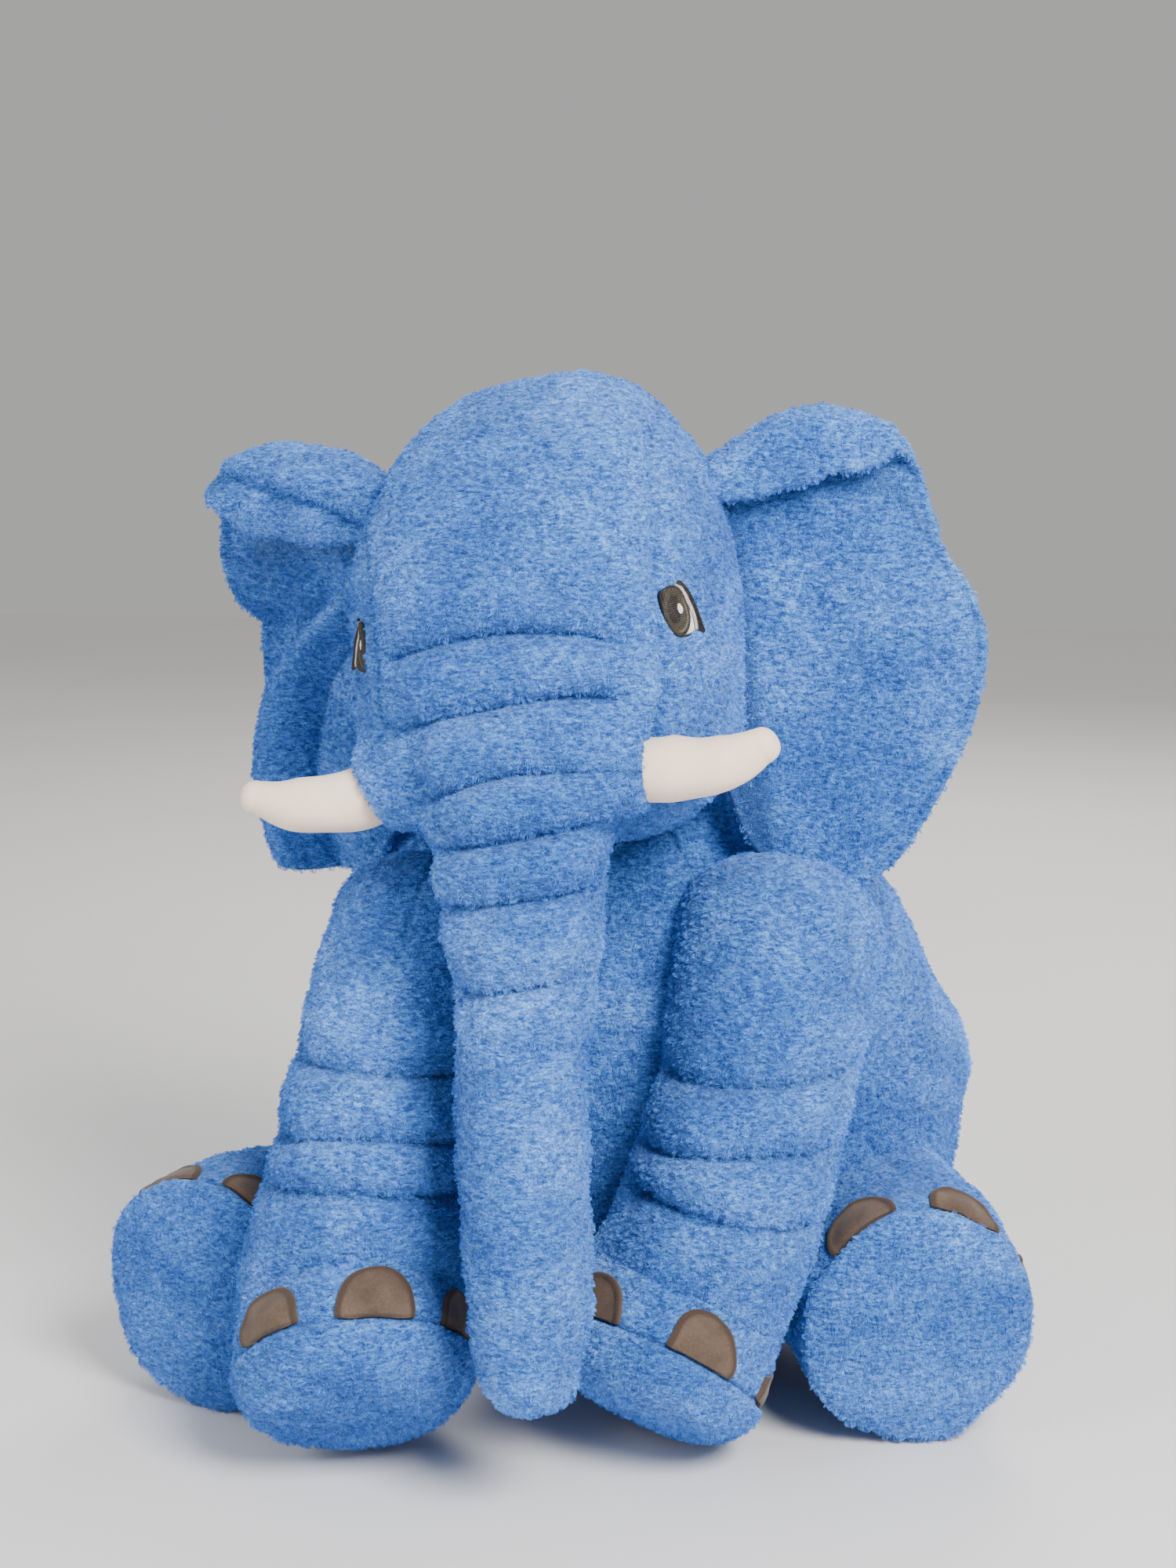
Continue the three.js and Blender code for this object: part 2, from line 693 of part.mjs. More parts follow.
// Legs: an outer and an inner panel, a sole, stuffing and three felt nails along the sole seam.
const soleEdge = endSteps[0];
const nailTurns = 0.155; // from one nail's middle to the next one's
const nailRows = [0, 0.5, 0.85, 1];
const nailStart = soleEdge - 0.022;
const nailSize = [0.065, 0.052]; // its height along the limb, and half its width in turns
for (const [name, leg] of Object.entries(legs)) {
  const group = section(elephant, leg.joint);
  const { skin } = leg;
  const us = stretch(skin.us, [limbRoot, soleEdge], 0);
  // The seam lines run down the front and the back of a leg.
  const faces = name.startsWith('left') ? ['outer', 'inner'] : ['inner', 'outer'];
  for (const [k, span] of [[0, [-0.25, 0.25]], [1, [0.25, 0.75]]]) {
    const side = panel(skin, us, stretch(skin.vs, span, limbSeam));
    addPiece(group, `${name}_leg_${faces[k]}`, side, colours.plush);
  }
  const soleLines = stretch(skin.us, [soleEdge, 1], 0).with(0, soleEdge + limbSeam);
  addPiece(group, `${name}_sole`, panel(skin, soleLines, skin.vs), colours.plush);
  addPiece(group, `${name}_leg_stuffing`, solid(skin, stuffingDepth), colours.stuffing);
  for (let k = 0; k < footNails; k += 1) {
    const nail = halfRoundOn(skin, nailStart, leg.nails + (k - 1) * nailTurns, nailSize);
    const patch = panel(nail, nailRows, steps(-1, 1, 6), { poles: [false, true], ...trim });
    addPiece(group, `${name}_nail_${k + 1}`, patch, colours.nail);
  }
}

// Tail: a narrow tube with a plush tuft.
const tail = section(elephant, tailRoot);
addPiece(tail, 'tail_cover', solid(tailSkin, 0), colours.plush);
addPiece(tail, 'tail_tuft', solid(tuftSkin, 0), colours.plush);

// The origin goes to the middle of the footprint, on the surface that the toy sits on.
const extent = new THREE.Box3().setFromObject(elephant);
const middle = extent.getCenter(new THREE.Vector3());
elephant.position.set(-middle.x, -middle.y, -extent.min.z);

export default elephant;
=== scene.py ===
# Looks of the sitting stuffed elephant: blue plush sections with tucks and seams, smooth
# cream tusks, brown nails and embroidered eyes. Shapes are worked out in millimetres.
import math

import bpy
import numpy as np
from mathutils import Matrix, Vector
from mathutils.bvhtree import BVHTree
from mathutils.kdtree import KDTree


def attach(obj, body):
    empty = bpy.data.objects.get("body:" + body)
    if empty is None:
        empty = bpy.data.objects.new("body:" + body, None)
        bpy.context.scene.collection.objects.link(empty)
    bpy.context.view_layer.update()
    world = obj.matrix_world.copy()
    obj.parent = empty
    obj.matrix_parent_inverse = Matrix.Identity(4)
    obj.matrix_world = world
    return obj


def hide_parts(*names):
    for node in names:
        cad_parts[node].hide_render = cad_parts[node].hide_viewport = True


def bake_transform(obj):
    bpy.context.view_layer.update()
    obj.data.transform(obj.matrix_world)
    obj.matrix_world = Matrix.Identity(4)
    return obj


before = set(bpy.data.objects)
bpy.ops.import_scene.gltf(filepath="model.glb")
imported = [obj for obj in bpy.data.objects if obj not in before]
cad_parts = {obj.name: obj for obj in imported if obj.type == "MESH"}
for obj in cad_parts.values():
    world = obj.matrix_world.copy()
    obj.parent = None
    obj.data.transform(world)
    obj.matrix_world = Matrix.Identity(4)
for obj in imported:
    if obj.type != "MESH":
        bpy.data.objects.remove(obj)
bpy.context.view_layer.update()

# ---------------------------------------------------------------- measures and vectors

ORIGIN = np.array([0.453, -17.074, 0.0])  # from the drawing's origin to the frame's, mm
MM = 0.001


def vec(*values):
    return np.array(values, float)


def unit(v):
    return v / np.maximum(1e-9, np.linalg.norm(v, axis=-1, keepdims=True))


def spow(x, power):
    """A power that keeps the sign, for rounded squares."""
    return np.sign(x) * np.abs(x) ** power


def ramp(x, low, high):
    """0 below low, 1 above high and smooth between."""
    t = np.clip((x - low) / (high - low), 0, 1)
    return t * t * (3 - 2 * t)


def bell(x, width):
    """1 at 0, and almost nothing past twice the width."""
    return np.exp(-((x / width) ** 2))


def wobble(points, size, seed):
    """Smooth noise of about -1..1, with hills about that far apart."""
    rng = np.random.default_rng(seed)
    total = np.zeros(points.shape[:-1])
    for _ in range(9):
        direction = unit(rng.normal(size=3))
        wave = 2 * math.pi / size * rng.uniform(0.6, 1.5)
        total += np.sin(points @ direction * wave + rng.uniform(0, 2 * math.pi))
    return total / 2.6


def in_frame(point):
    """A point of the drawing in the frame, in metres."""
    return tuple((np.asarray(point, float) + ORIGIN) * MM)


# ---------------------------------------------------------------- meshes

def smooth_faces(mesh):
    mesh.polygons.foreach_set("use_smooth", [True] * len(mesh.polygons))


def make_object(name, points, faces):
    mesh = bpy.data.meshes.new(name)
    mesh.from_pydata(((points + ORIGIN) * MM).tolist(), [], faces)
    mesh.update()
    smooth_faces(mesh)
    obj = bpy.data.objects.new(name, mesh)
    bpy.context.scene.collection.objects.link(obj)
    return obj


def read(items, name, size=3, kind=np.float32):
    """A row of numbers from each point, edge or face of a mesh."""
    flat = np.empty(len(items) * size, kind)
    items.foreach_get(name, flat)
    return flat.reshape(-1, size)


def get_points(obj):
    return read(obj.data.vertices, "co").astype(float) / MM - ORIGIN


def set_points(obj, points):
    flat = ((points + ORIGIN) * MM).astype(np.float32).ravel()
    obj.data.vertices.foreach_set("co", flat)
    obj.data.update()


def get_normals(obj):
    return read(obj.data.vertices, "normal").astype(float)


def ring_faces(rows, columns):
    """Faces of a closed tube of rows, with its first and last row drawn to one point each."""
    first, last = 0, 1 + (rows - 2) * columns
    at = lambda i, j: 1 + (i - 1) * columns + j % columns
    faces = []
    for j in range(columns):
        faces.append((first, at(1, j), at(1, j + 1)))
        faces.append((last, at(rows - 2, j + 1), at(rows - 2, j)))
    for i in range(1, rows - 2):
        for j in range(columns):
            faces.append((at(i, j), at(i + 1, j), at(i + 1, j + 1), at(i, j + 1)))
    return faces


def ring_values(grid):
    """A grid's values in the order of its mesh's points: one, then whole rows, then one."""
    shape = (-1,) + grid.shape[2:]
    return np.concatenate([part.reshape(shape) for part in (grid[:1, :1], grid[1:-1], grid[-1:, :1])])


def ring_object(name, grid):
    obj = make_object(name, ring_values(grid), ring_faces(*grid.shape[:2]))
    obj.data.validate()
    turn_outward(obj)
    return obj


def mark(obj, name, values):
    """Keeps a value per point, for the materials to read."""
    attribute = obj.data.attributes.new(name, "FLOAT", "POINT")
    attribute.data.foreach_set("value", np.asarray(values, np.float32).ravel())


def mark_grid(obj, name, grid):
    mark(obj, name, ring_values(grid))


def turn_outward(obj):
    points = get_points(obj)
    obj.data.calc_loop_triangles()
    a, b, c = (points[k] for k in read(obj.data.loop_triangles, "vertices", 3, np.int32).T)
    if (a * np.cross(b, c)).sum() < 0:
        obj.data.flip_normals()


def grid_normals(grid):
    """Outward unit normals of a grid that closes round its second axis."""
    along = np.gradient(grid, axis=0)
    around = np.roll(grid, -1, 1) - np.roll(grid, 1, 1)
    normals = unit(np.cross(along, around))
    middle = grid.mean((0, 1))
    if ((grid - middle) * normals).sum() < 0:
        normals = -normals
    for pole, near in ((0, 1), (-1, -2)):
        normals[pole] = unit(normals[near].mean(0))
    return normals


def even_rows(profile, step):
    """Places along a fine profile (n, 2) that are about a step apart on its length."""
    length = np.concatenate([[0], np.cumsum(np.linalg.norm(np.diff(profile, axis=0), axis=1))])
    count = max(4, int(round(length[-1] / step)))
    return np.interp(np.linspace(0, length[-1], count + 1), length, np.arange(len(length)))


# ---------------------------------------------------------------- limbs

def spline(a, b, c, d, t):
    """Points of a smooth curve from b to c, with a before them and d after them."""
    return 0.5 * (2 * b + (c - a) * t + (2 * a - 5 * b + 4 * c - d) * t ** 2
                  + (3 * b - a - 3 * c + d) * t ** 3)


class Path:
    """A smooth curve through its points, measured from its first one."""

    def __init__(self, points):
        p = np.array(points, float)
        p = np.vstack([2 * p[0] - p[1], p, 2 * p[-1] - p[-2]])
        fine = []
        for k in range(1, len(p) - 2):
            t = np.linspace(0, 1, 41)[: None if k == len(p) - 3 else -1, None]
            fine.append(spline(*p[k - 1:k + 3], t))
        self.points = np.vstack(fine)
        gaps = np.linalg.norm(np.diff(self.points, axis=0), axis=1)
        self.places = np.concatenate([[0], np.cumsum(gaps)])
        self.length = self.places[-1]
        self.tangents = unit(np.gradient(self.points, self.places, axis=0))
        self.knots = np.linspace(0, 1, len(self.points))

    def _mix(self, s, rows):
        s = np.clip(s, 0, self.length)
        return np.stack([np.interp(s, self.places, rows[:, k]) for k in range(3)], -1)

    def at(self, s):
        return self._mix(s, self.points)

    def tangent(self, s):
        return unit(self._mix(s, self.tangents))

    def share(self, s):
        return np.interp(np.clip(s, 0, self.length), self.places, self.knots)


class Limb:
    """A section with a round root, lofted along its path to a flatter end."""

    def __init__(self, path, widths, depths, side, root, end, square=4.0):
        self.path = Path(path)
        self.widths, self.depths, self.side = widths, depths, np.asarray(side, float)
        self.root, self.end, self.square = root, end, square

    def frame(self, s):
        tangent = self.path.tangent(s)
        across = unit(self.side - (tangent @ self.side)[..., None] * tangent)
        return tangent, across, np.cross(across, tangent)

    def sizes(self, s):
        share = self.path.share(s)
        even = lambda values: np.interp(share, np.linspace(0, 1, len(values)), values)
        return even(self.widths), even(self.depths)

    def grid(self, step, columns):
        """Grid points, with each row's place along the limb and each column's turn."""
        quarter = np.linspace(0, math.pi / 2, 300)
        length = self.path.length
        root = np.stack([-self.root * np.cos(quarter), np.sin(quarter)], -1)
        body = np.stack([np.linspace(0, length, 600), np.ones(600)], -1)
        end = np.stack([length + self.end * spow(np.sin(quarter), 2 / self.square),
                        spow(np.maximum(0, np.cos(quarter)), 2 / self.square)], -1)
        profile = np.vstack([root[:-1], body[:-1], end])
        size = float(np.mean(self.widths))
        rows = even_rows(profile * [1, size], step)
        s = np.interp(rows, np.arange(len(profile)), profile[:, 0])
        scale = np.interp(rows, np.arange(len(profile)), profile[:, 1])
        turn = np.arange(columns) / columns
        tangent, across, front = self.frame(s)
        widths, depths = self.sizes(s)
        reach = np.where(s < 0, s, np.maximum(0, s - length))
        middle = self.path.at(s) + tangent * reach[:, None]
        angle = 2 * math.pi * turn
        sideways = (scale * widths)[:, None, None] * across[:, None] * np.cos(angle)[None, :, None]
        forward = (scale * depths)[:, None, None] * front[:, None] * np.sin(angle)[None, :, None]
        return middle[:, None] + sideways + forward, s, turn, scale


def turn_gap(turn, middle):
    """Signed turns from a middle, in -0.5..0.5."""
    return (turn - middle + 0.5) % 1 - 0.5


def roll_relief(height, lines, fades, depth, above, below):
    """Soft rolls between sewn tucks: how far the cloth sinks towards the line of each one.

    The first roll reaches that far above the first of the tucks, and the last one that far below the last of
    them.
    """
    move = 0
    for k, (line, fade) in enumerate(zip(lines, fades)):
        over = (lines[k - 1] - line) / 2 if k else above
        under = (line - lines[k + 1]) / 2 if k + 1 < len(lines) else below
        gap = height - line
        t = np.clip(np.where(gap > 0, gap / np.maximum(over, 4), -gap / np.maximum(under, 4)), 0, 1)
        move = move - depth * (1 - (t * (2 - t)) ** 0.7) * fade
    return move


def tuck_shade(rolls, depth, soft):
    """Painted shade of the tucks: full in the crease, and soft on the rolls beside it."""
    sunk = np.clip(-rolls / depth, 0, 1)
    return np.maximum(sunk ** 4, soft * sunk ** 1.4)


def groove(d, depth, width):
    """A stitched seam: a narrow cut in a wider hollow, at a distance d from its line."""
    return -depth * bell(d, width) - 0.45 * depth * bell(d, width * 3.5)


# ---------------------------------------------------------------- head

HEAD_CENTRE = vec(-5, -48, 461)
HEAD_TURN = math.radians(-10)  # to the elephant's right
HEAD_TILT = math.radians(-7)
HEAD = np.array(Matrix.Rotation(HEAD_TURN, 3, "Z") @ Matrix.Rotation(HEAD_TILT, 3, "Y"))
HEAD_SIDE = HEAD[:, 0]
HEAD_UP = HEAD[:, 2]


def from_head(points):
    return np.asarray(points, float) @ HEAD.T + HEAD_CENTRE


def to_head(points):
    return (points - HEAD_CENTRE) @ HEAD


def head_local(u, v):
    """The head in its own frame; u runs from the left cheek to the right, v from the crown."""
    across, around = u * math.pi, 2 * math.pi * v
    low = 0.5 - 0.5 * np.cos(around)
    square = 2.15 + 0.9 * low
    x = 106 * spow(np.cos(across), 2 / square)
    ring = spow(np.maximum(0, np.sin(across)), 2 / square)
    height = np.where(np.cos(around) > 0, 135, 120)
    depth = np.where(np.sin(around) > 0, 102, 100)
    up = height * spow(np.cos(around), 2 / 2.2)
    forward = depth * spow(np.sin(around), 2 / 2.2)
    lean = 15 * np.maximum(0, ring * up / 135) ** 1.5
    return np.stack([x + lean, -ring * forward, ring * up], -1)


# The head's side seams, by height: where they run on the left and on the right.
SEAM_HEIGHTS = [-125, -96, -60, -45, -32, 8, 60, 105, 135]
SEAM_LEFT = [71, 75, 72, 78, 84, 86, 84, 80, 62]
SEAM_RIGHT = [-27, -32, -54, -66, -72, -70, -74, -76, -60]


def head_seam(local):
    """Distance outward from the seam between the head's gusset and its sides."""
    left = local[..., 0] - np.interp(local[..., 2], SEAM_HEIGHTS, SEAM_LEFT)
    right = np.interp(local[..., 2], SEAM_HEIGHTS, SEAM_RIGHT) - local[..., 0]
    return np.maximum(left, right)


# Tucks over the face and down the trunk: middle (x, z), half width, rise of the middle over
# the ends, and tilt.
FACE_TUCKS = [
    ((-20, 467.7), 68, 11.6, 0.125),
    ((-18, 433.2), 70, 13.0, 0.202),
    ((-8, 398.9), 58, 16.0, 0.147),
    ((-4, 366.0), 56, 4.0, 0.172),
    ((-5, 334), 50, 5, 0.13),
    ((-5, 288), 44, 3, 0.13),
]
TUCK_DEPTH = 12

EYE_PLACES = {"left": (107, -66, 8), "right": (-87, -64, 4)}  # in the head's own frame
SOCKETS = {"left": 3.5, "right": 6.0}  # their depth
CHEEKS = {"left": (76, -58, -72), "right": (-88, -46, -74)}
CHEEK_HEIGHTS = {"left": 6, "right": 9}
TUSK_ROOTS = {  # where each tusk leaves the skin, and the way that it points
    "left": ((69.5, -71, -71), (0.99, 0.08, -0.05)),
    "right": ((-88, -68, -76), (-0.87, -0.25, -0.42)),
}

TRUNK_UPPER = Limb(
    path=[(-12, -96, 452), (-11, -118, 405), (-9, -132, 352), (-6, -143, 300), (-5, -150, 262)],
    widths=[76, 61, 49, 40, 36], depths=[44, 44, 41, 39, 36],
    side=HEAD_SIDE, root=30, end=13, square=2.6,
)
TRUNK_LOWER = Limb(
    path=[(-5, -151, 256), (-5, -157, 215), (-1, -168, 160), (3, -182, 110), (4, -188, 87)],
    widths=[33.5, 34.5, 33.5, 30.5, 26], depths=[33, 35, 35, 32, 27],
    side=HEAD_SIDE, root=20, end=22, square=2.2,
)


def select(*objects):
    """Selects these objects alone, with the first one active."""
    for other in bpy.context.selected_objects:
        other.select_set(False)
    for obj in objects:
        obj.select_set(True)
    bpy.context.view_layer.objects.active = objects[0]


def apply_modifier(obj, modifier):
    select(obj)
    bpy.ops.object.modifier_apply(modifier=modifier.name)


def fuse(name, voxel, obj, *others):
    """One closed skin round several overlapping bodies."""
    select(obj, *others)
    bpy.ops.object.join()
    obj.name = obj.data.name = name
    remesh = obj.modifiers.new("skin", "REMESH")
    remesh.mode = "VOXEL"
    remesh.voxel_size = voxel * MM
    apply_modifier(obj, remesh)
    return obj


def relax(obj, weights, rounds):
    """Evens out a mesh, each point by its weight."""
    points = get_points(obj)
    count = len(points)
    a, b = read(obj.data.edges, "vertices", 2, np.int64).T
    degree = np.maximum(1, np.bincount(a, minlength=count) + np.bincount(b, minlength=count))
    share = (0.6 * weights)[:, None]
    for _ in range(rounds):
        near = np.stack([np.bincount(a, points[b, k], count) + np.bincount(b, points[a, k], count)
                         for k in range(3)], -1) / degree[:, None]
        points += share * (near - points)
    set_points(obj, points)


def subdivide(obj):
    modifier = obj.modifiers.new("fine", "SUBSURF")
    modifier.levels = modifier.render_levels = 1
    apply_modifier(obj, modifier)


def trunk_place(limb, points):
    """Place along a limb, and distance from its middle line, of any points near it."""
    samples = np.linspace(0, limb.path.length, 90)
    middles = limb.path.at(samples)
    best = np.full(len(points), 1e9)
    place = np.zeros(len(points))
    for s, middle in zip(samples, middles):
        gap = ((points - middle) ** 2).sum(1)
        closer = gap < best
        best[closer], place[closer] = gap[closer], s
    return place, np.sqrt(best)


def build_head():
    rows, columns = 70, 150
    u, v = np.meshgrid(np.linspace(0, 1, rows), np.arange(columns) / columns, indexing="ij")
    ball = ring_object("ball", from_head(head_local(u, v)))
    trunk = ring_object("trunk", TRUNK_UPPER.grid(3.0, 100)[0])
    obj = fuse("head_and_trunk", 3.2, ball, trunk)
    points = get_points(obj)
    place, away = trunk_place(TRUNK_UPPER, points)
    local = to_head(points)
    shell = np.abs(np.linalg.norm(local / [106, 101, 128], axis=1) - 1) * 110
    width = TRUNK_UPPER.sizes(place)[0]
    weights = bell(shell, 26) * bell(np.maximum(0, away - width), 22) * (points[:, 1] < -60)
    relax(obj, np.clip(1.5 * weights, 0, 1), 60)
    relax(obj, np.full(len(points), 0.6), 4)
    subdivide(obj)
    smooth_faces(obj.data)
    shape_head(obj)
    return obj


def face_relief(points, facing):
    """How far the tucks of the face and the trunk move the cloth, along its normal."""
    x, z = points[:, 0], points[:, 2]
    lines, fades = [], []
    for (x0, z0), half, rise, tilt in FACE_TUCKS:
        across = (x - x0) / half
        lines.append(z0 + tilt * (x - x0) - rise * across ** 2)
        fades.append((1 - ramp(np.abs(across), 0.80, 1.04)) * facing)
    return roll_relief(z, lines, fades, TUCK_DEPTH, 26, 26)


def shape_head(obj):
    points, normals = get_points(obj), get_normals(obj)
    local = to_head(points)
    gap = head_seam(local)
    on_head = ramp(points[:, 2], 352, 378)
    seam = bell(gap, 1.6) * on_head
    move = groove(gap, 3.0, 1.8) * on_head
    move += 2.2 * bell(gap + 26, 22) * on_head * (local[:, 1] < 60)
    # Hollows round the eyes, and cheeks that stand round the tusks.
    for name in ("left", "right"):
        away = np.linalg.norm((local - EYE_PLACES[name]) / [1, 1, 1.2], axis=1)
        move -= SOCKETS[name] * bell(away, 26)
        away = np.linalg.norm((local - CHEEKS[name]) / [1, 1, 0.9], axis=1)
        move += CHEEK_HEIGHTS[name] * bell(away, 27)
    facing = ramp(-normals[:, 1], -0.25, 0.3) * ramp(-points[:, 1], 60, 100)
    rolls = face_relief(points, facing)
    move += rolls
    # Side seams of the trunk, where its front meets its back.
    place = trunk_place(TRUNK_UPPER, points)[0]
    front = TRUNK_UPPER.frame(place)[2]
    forward = ((points - TRUNK_UPPER.path.at(place)) * front).sum(1)
    on_trunk = 1 - ramp(points[:, 2], 345, 372)
    move += groove(forward + 6, 2.2, 1.8) * on_trunk
    move += 0.9 * wobble(points, 46, 3) + 0.35 * wobble(points, 15, 4)
    points = points + normals * move[:, None]
    # The side panel comes out to the tusk's root all round.
    local = to_head(points)
    for root, ahead in TUSK_ROOTS.values():
        root, ahead = np.array(root), unit(np.array(ahead))
        along = (local - root) @ ahead
        radius = np.linalg.norm(local - root - along[:, None] * ahead, axis=1)
        pull = np.clip(-along, 0, 40) * (1 - ramp(radius, 18, 36)) * (local[:, 1] < 0) * (along > -60)
        pull = pull * ramp(normals @ (HEAD @ ahead), -0.25, 0.2)
        local = local + pull[:, None] * ahead
    set_points(obj, from_head(local))
    # Painted shade in the tucks of the face and the trunk, and a little along the head's seams.
    mark(obj, "painted_shade", np.maximum(tuck_shade(rolls, TUCK_DEPTH, 0.36), 0.2 * seam))


# ---------------------------------------------------------------- trunk tip

def build_trunk_tip():
    grid, s, turn, scale = TRUNK_LOWER.grid(1.8, 150)
    normals = grid_normals(grid)
    s = s[:, None]
    turn = turn[None, :]
    seam = np.minimum(np.abs(turn_gap(turn, 0)), np.abs(turn_gap(turn, 0.5))) * 230
    move = groove(seam, 1.6, 1.7) + 0 * s
    move += 0.8 * wobble(grid, 40, 8) + 0.3 * wobble(grid, 14, 9)
    return ring_object("trunk_tip", grid + normals * (move * ramp(scale, 0, 0.4)[:, None])[..., None])


# ---------------------------------------------------------------- legs

SIDE_AXIS = vec(1, 0, 0)
LEGS = {
    "left_front": dict(
        path=[(124, -40, 292), (114, -67, 220), (98, -84, 150), (77, -75, 94), (63, -95, 63)],
        widths=[57, 54, 55, 58, 63], depths=[54, 52, 53, 59, 64]),
    "right_front": dict(
        path=[(-74, -44, 286), (-88, -77, 225), (-97, -103, 158), (-109, -104, 101), (-102, -131, 70)],
        widths=[55, 55, 59, 61, 66], depths=[54, 52, 54, 60, 66]),
    "left_hind": dict(
        path=[(152, 70, 88), (172, 25, 84), (192, -15, 79), (203, -56, 73.5)],
        widths=[64, 66, 66, 66], depths=[74, 74, 73, 73]),
    "right_hind": dict(
        path=[(-128, 70, 64), (-161, 25, 70), (-188, -12, 72), (-203, -52, 71)],
        widths=[60, 63, 65, 66], depths=[46, 59, 69, 71]),
}
MIDDLE_NAILS = {"left_front": 0.832, "right_front": 0.804, "left_hind": 0.82, "right_hind": 0.68}
NAIL_HEIGHTS = {"left_front": 16.5, "right_front": 18.5, "left_hind": 20, "right_hind": 20}
NAIL_TURNS = {"left_front": 0.18, "right_front": 0.155, "left_hind": 0.155, "right_hind": 0.155}
NAIL_HALF_TURN = 0.055
# Tucks round the front of a leg: height of the middle, rise of the middle over the ends, and
# tilt across.
LEG_TUCKS = {
    "left_front": [(224, 2, 0.01), (187, 5, 0.0), (152, 2, -0.20)],
    "right_front": [(229, 6, -0.05), (196, 12, 0.0), (167, 8, -0.03)],
}
LEG_TUCK_DEPTH, LEG_ROLL = 11, 24
SOLE_BULGE = {"left_front": 36, "right_front": 40, "left_hind": 22, "right_hind": 22}
SOLE_SAG = {"left_front": 1, "right_front": 3, "left_hind": 0, "right_hind": 0}
SOLE_SEAM = 6.5  # of the sole's seam past the end of the path


class GridSkin:
    """A finished grid, which trims are laid on by place along it and turn."""

    def __init__(self, grid, s, turn):
        self.grid, self.s, self.turn = grid, s, turn
        self.normals = grid_normals(grid)

    def at(self, s, turn, lift):
        row = np.interp(s, self.s, np.arange(len(self.s)))
        column = (turn % 1) * len(self.turn)
        i = np.clip(row.astype(int), 0, len(self.s) - 2)
        j = column.astype(int) % len(self.turn)
        k = (j + 1) % len(self.turn)
        a, b = (row - i)[..., None], (column - np.floor(column))[..., None]
        mix = lambda g: ((1 - a) * (1 - b) * g[i, j] + a * (1 - b) * g[i + 1, j]
                         + (1 - a) * b * g[i, k] + a * b * g[i + 1, k])
        return mix(self.grid) + unit(mix(self.normals)) * lift[..., None]


def build_leg(name):
    data = LEGS[name]
    limb = Limb(side=SIDE_AXIS, root=44, end=SOLE_BULGE[name], square=3.1, **data)
    grid, s, turn, scale = limb.grid(1.8, 190)
    normals = grid_normals(grid)
    length = limb.path.length
    rows, turns = s[:, None], turn[None, :]
    # The sole's pad stands a little past its seam.
    edge = rows - length - SOLE_SEAM
    cap = ramp(scale, 0.55, 0.98)[:, None]
    move = np.where(edge > 0, bell(edge - 3, 4) * 2.0, 0) * np.ones_like(turns)
    seam_gap = edge * np.ones_like(turns)
    move = move + groove(seam_gap, 3.2, 1.6) * cap
    # Seams down the front and the back of the leg.
    line = np.minimum(np.abs(turn_gap(turns, 0.75)), np.abs(turn_gap(turns, 0.25))) * 345
    fade = 1 - ramp(rows, length - 44, length - 28)
    move += groove(line, 1.3, 1.6) * fade
    # Tucks.
    front = ramp(-np.sin(2 * math.pi * turns), -0.15, 0.35)
    across = np.cos(2 * math.pi * turns) * 55
    height = grid[..., 2]
    # Painted shade along the sole's seam and the seams down the leg, and in the tucks.
    painted_shade = 0.4 * bell(seam_gap, 1.6) * cap + 0.35 * bell(line, 1.3) * fade
    if name in LEG_TUCKS:
        lines = [middle + tilt * across - rise * (across / 55) ** 2 + 0 * height
                 for middle, rise, tilt in LEG_TUCKS[name]]
        rolls = roll_relief(height, lines, [front] * len(lines), LEG_TUCK_DEPTH, LEG_ROLL, LEG_ROLL)
        move += rolls
        painted_shade = np.maximum(painted_shade, tuck_shade(rolls, LEG_TUCK_DEPTH, 0.3))
    move += (1.2 * wobble(grid, 60, len(name)) + 0.4 * wobble(grid, 16, len(name) + 7)) * cap
    grid = grid + normals * move[..., None]
    grid[..., 2] -= SOLE_SAG[name] * ramp(edge, 0, 26)
    grid[..., 2] = np.maximum(grid[..., 2], 1.2 + 0.12 * np.minimum(0, grid[..., 2]))
    obj = ring_object(name + "_leg_skin", grid)
    mark_grid(obj, "painted_shade", painted_shade)
    return obj, GridSkin(grid, s, turn), length


def build_nail(name, skin, length, middle, height):
    """A half-round felt nail with a satin-stitched border, flat edge on the sole's seam."""
    shares = np.concatenate([np.linspace(0, 0.78, 9), [0.82, 0.86, 0.9, 0.94, 0.98, 1.0]])
    columns = 240
    angle = 2 * math.pi * np.arange(columns) / columns
    corner = spow(np.sin(angle), 0.95)
    x = np.cos(angle)
    y = np.where(corner > 0, corner, 0.10 * corner)
    share = shares[:, None]
    stitches = 0.5 + 0.5 * np.abs(np.sin(angle * 34))[None, :]
    border = ramp(share, 0.8, 0.86) * (1 - ramp(share, 0.96, 1.0))
    lift = 1.3 + 0.5 * (1 - share ** 2) + border * (0.5 + 0.55 * stitches)
    lift = np.where(share >= 0.999, -0.8, lift)
    place = length + SOLE_SEAM - 2.5 - height * share * y[None, :]
    turn = middle + NAIL_HALF_TURN * share * x[None, :]
    top = skin.at(place, turn, lift)
    under = skin.at(place[::-1], turn[::-1], np.full_like(place, -1.0))
    obj = ring_object(name, np.concatenate([top, under[1:]]))
    mark_grid(obj, "border", np.concatenate([border * np.ones_like(turn), 0 * turn[1:]]))
    return obj


# ---------------------------------------------------------------- torso

TORSO_CENTRES = [(26, 88, 0), (32, 86, 100), (34, 78, 200), (25, 55, 300), (4, 30, 405)]
TORSO_WIDTHS = [146, 198, 194, 170, 112]
TORSO_DEPTHS = [95, 128, 128, 115, 75]
TORSO_SEAMS = [0.06, -0.06, 0.5]  # in turns from the front: beside the gusset, and down the back
TORSO_GIRTH = 900


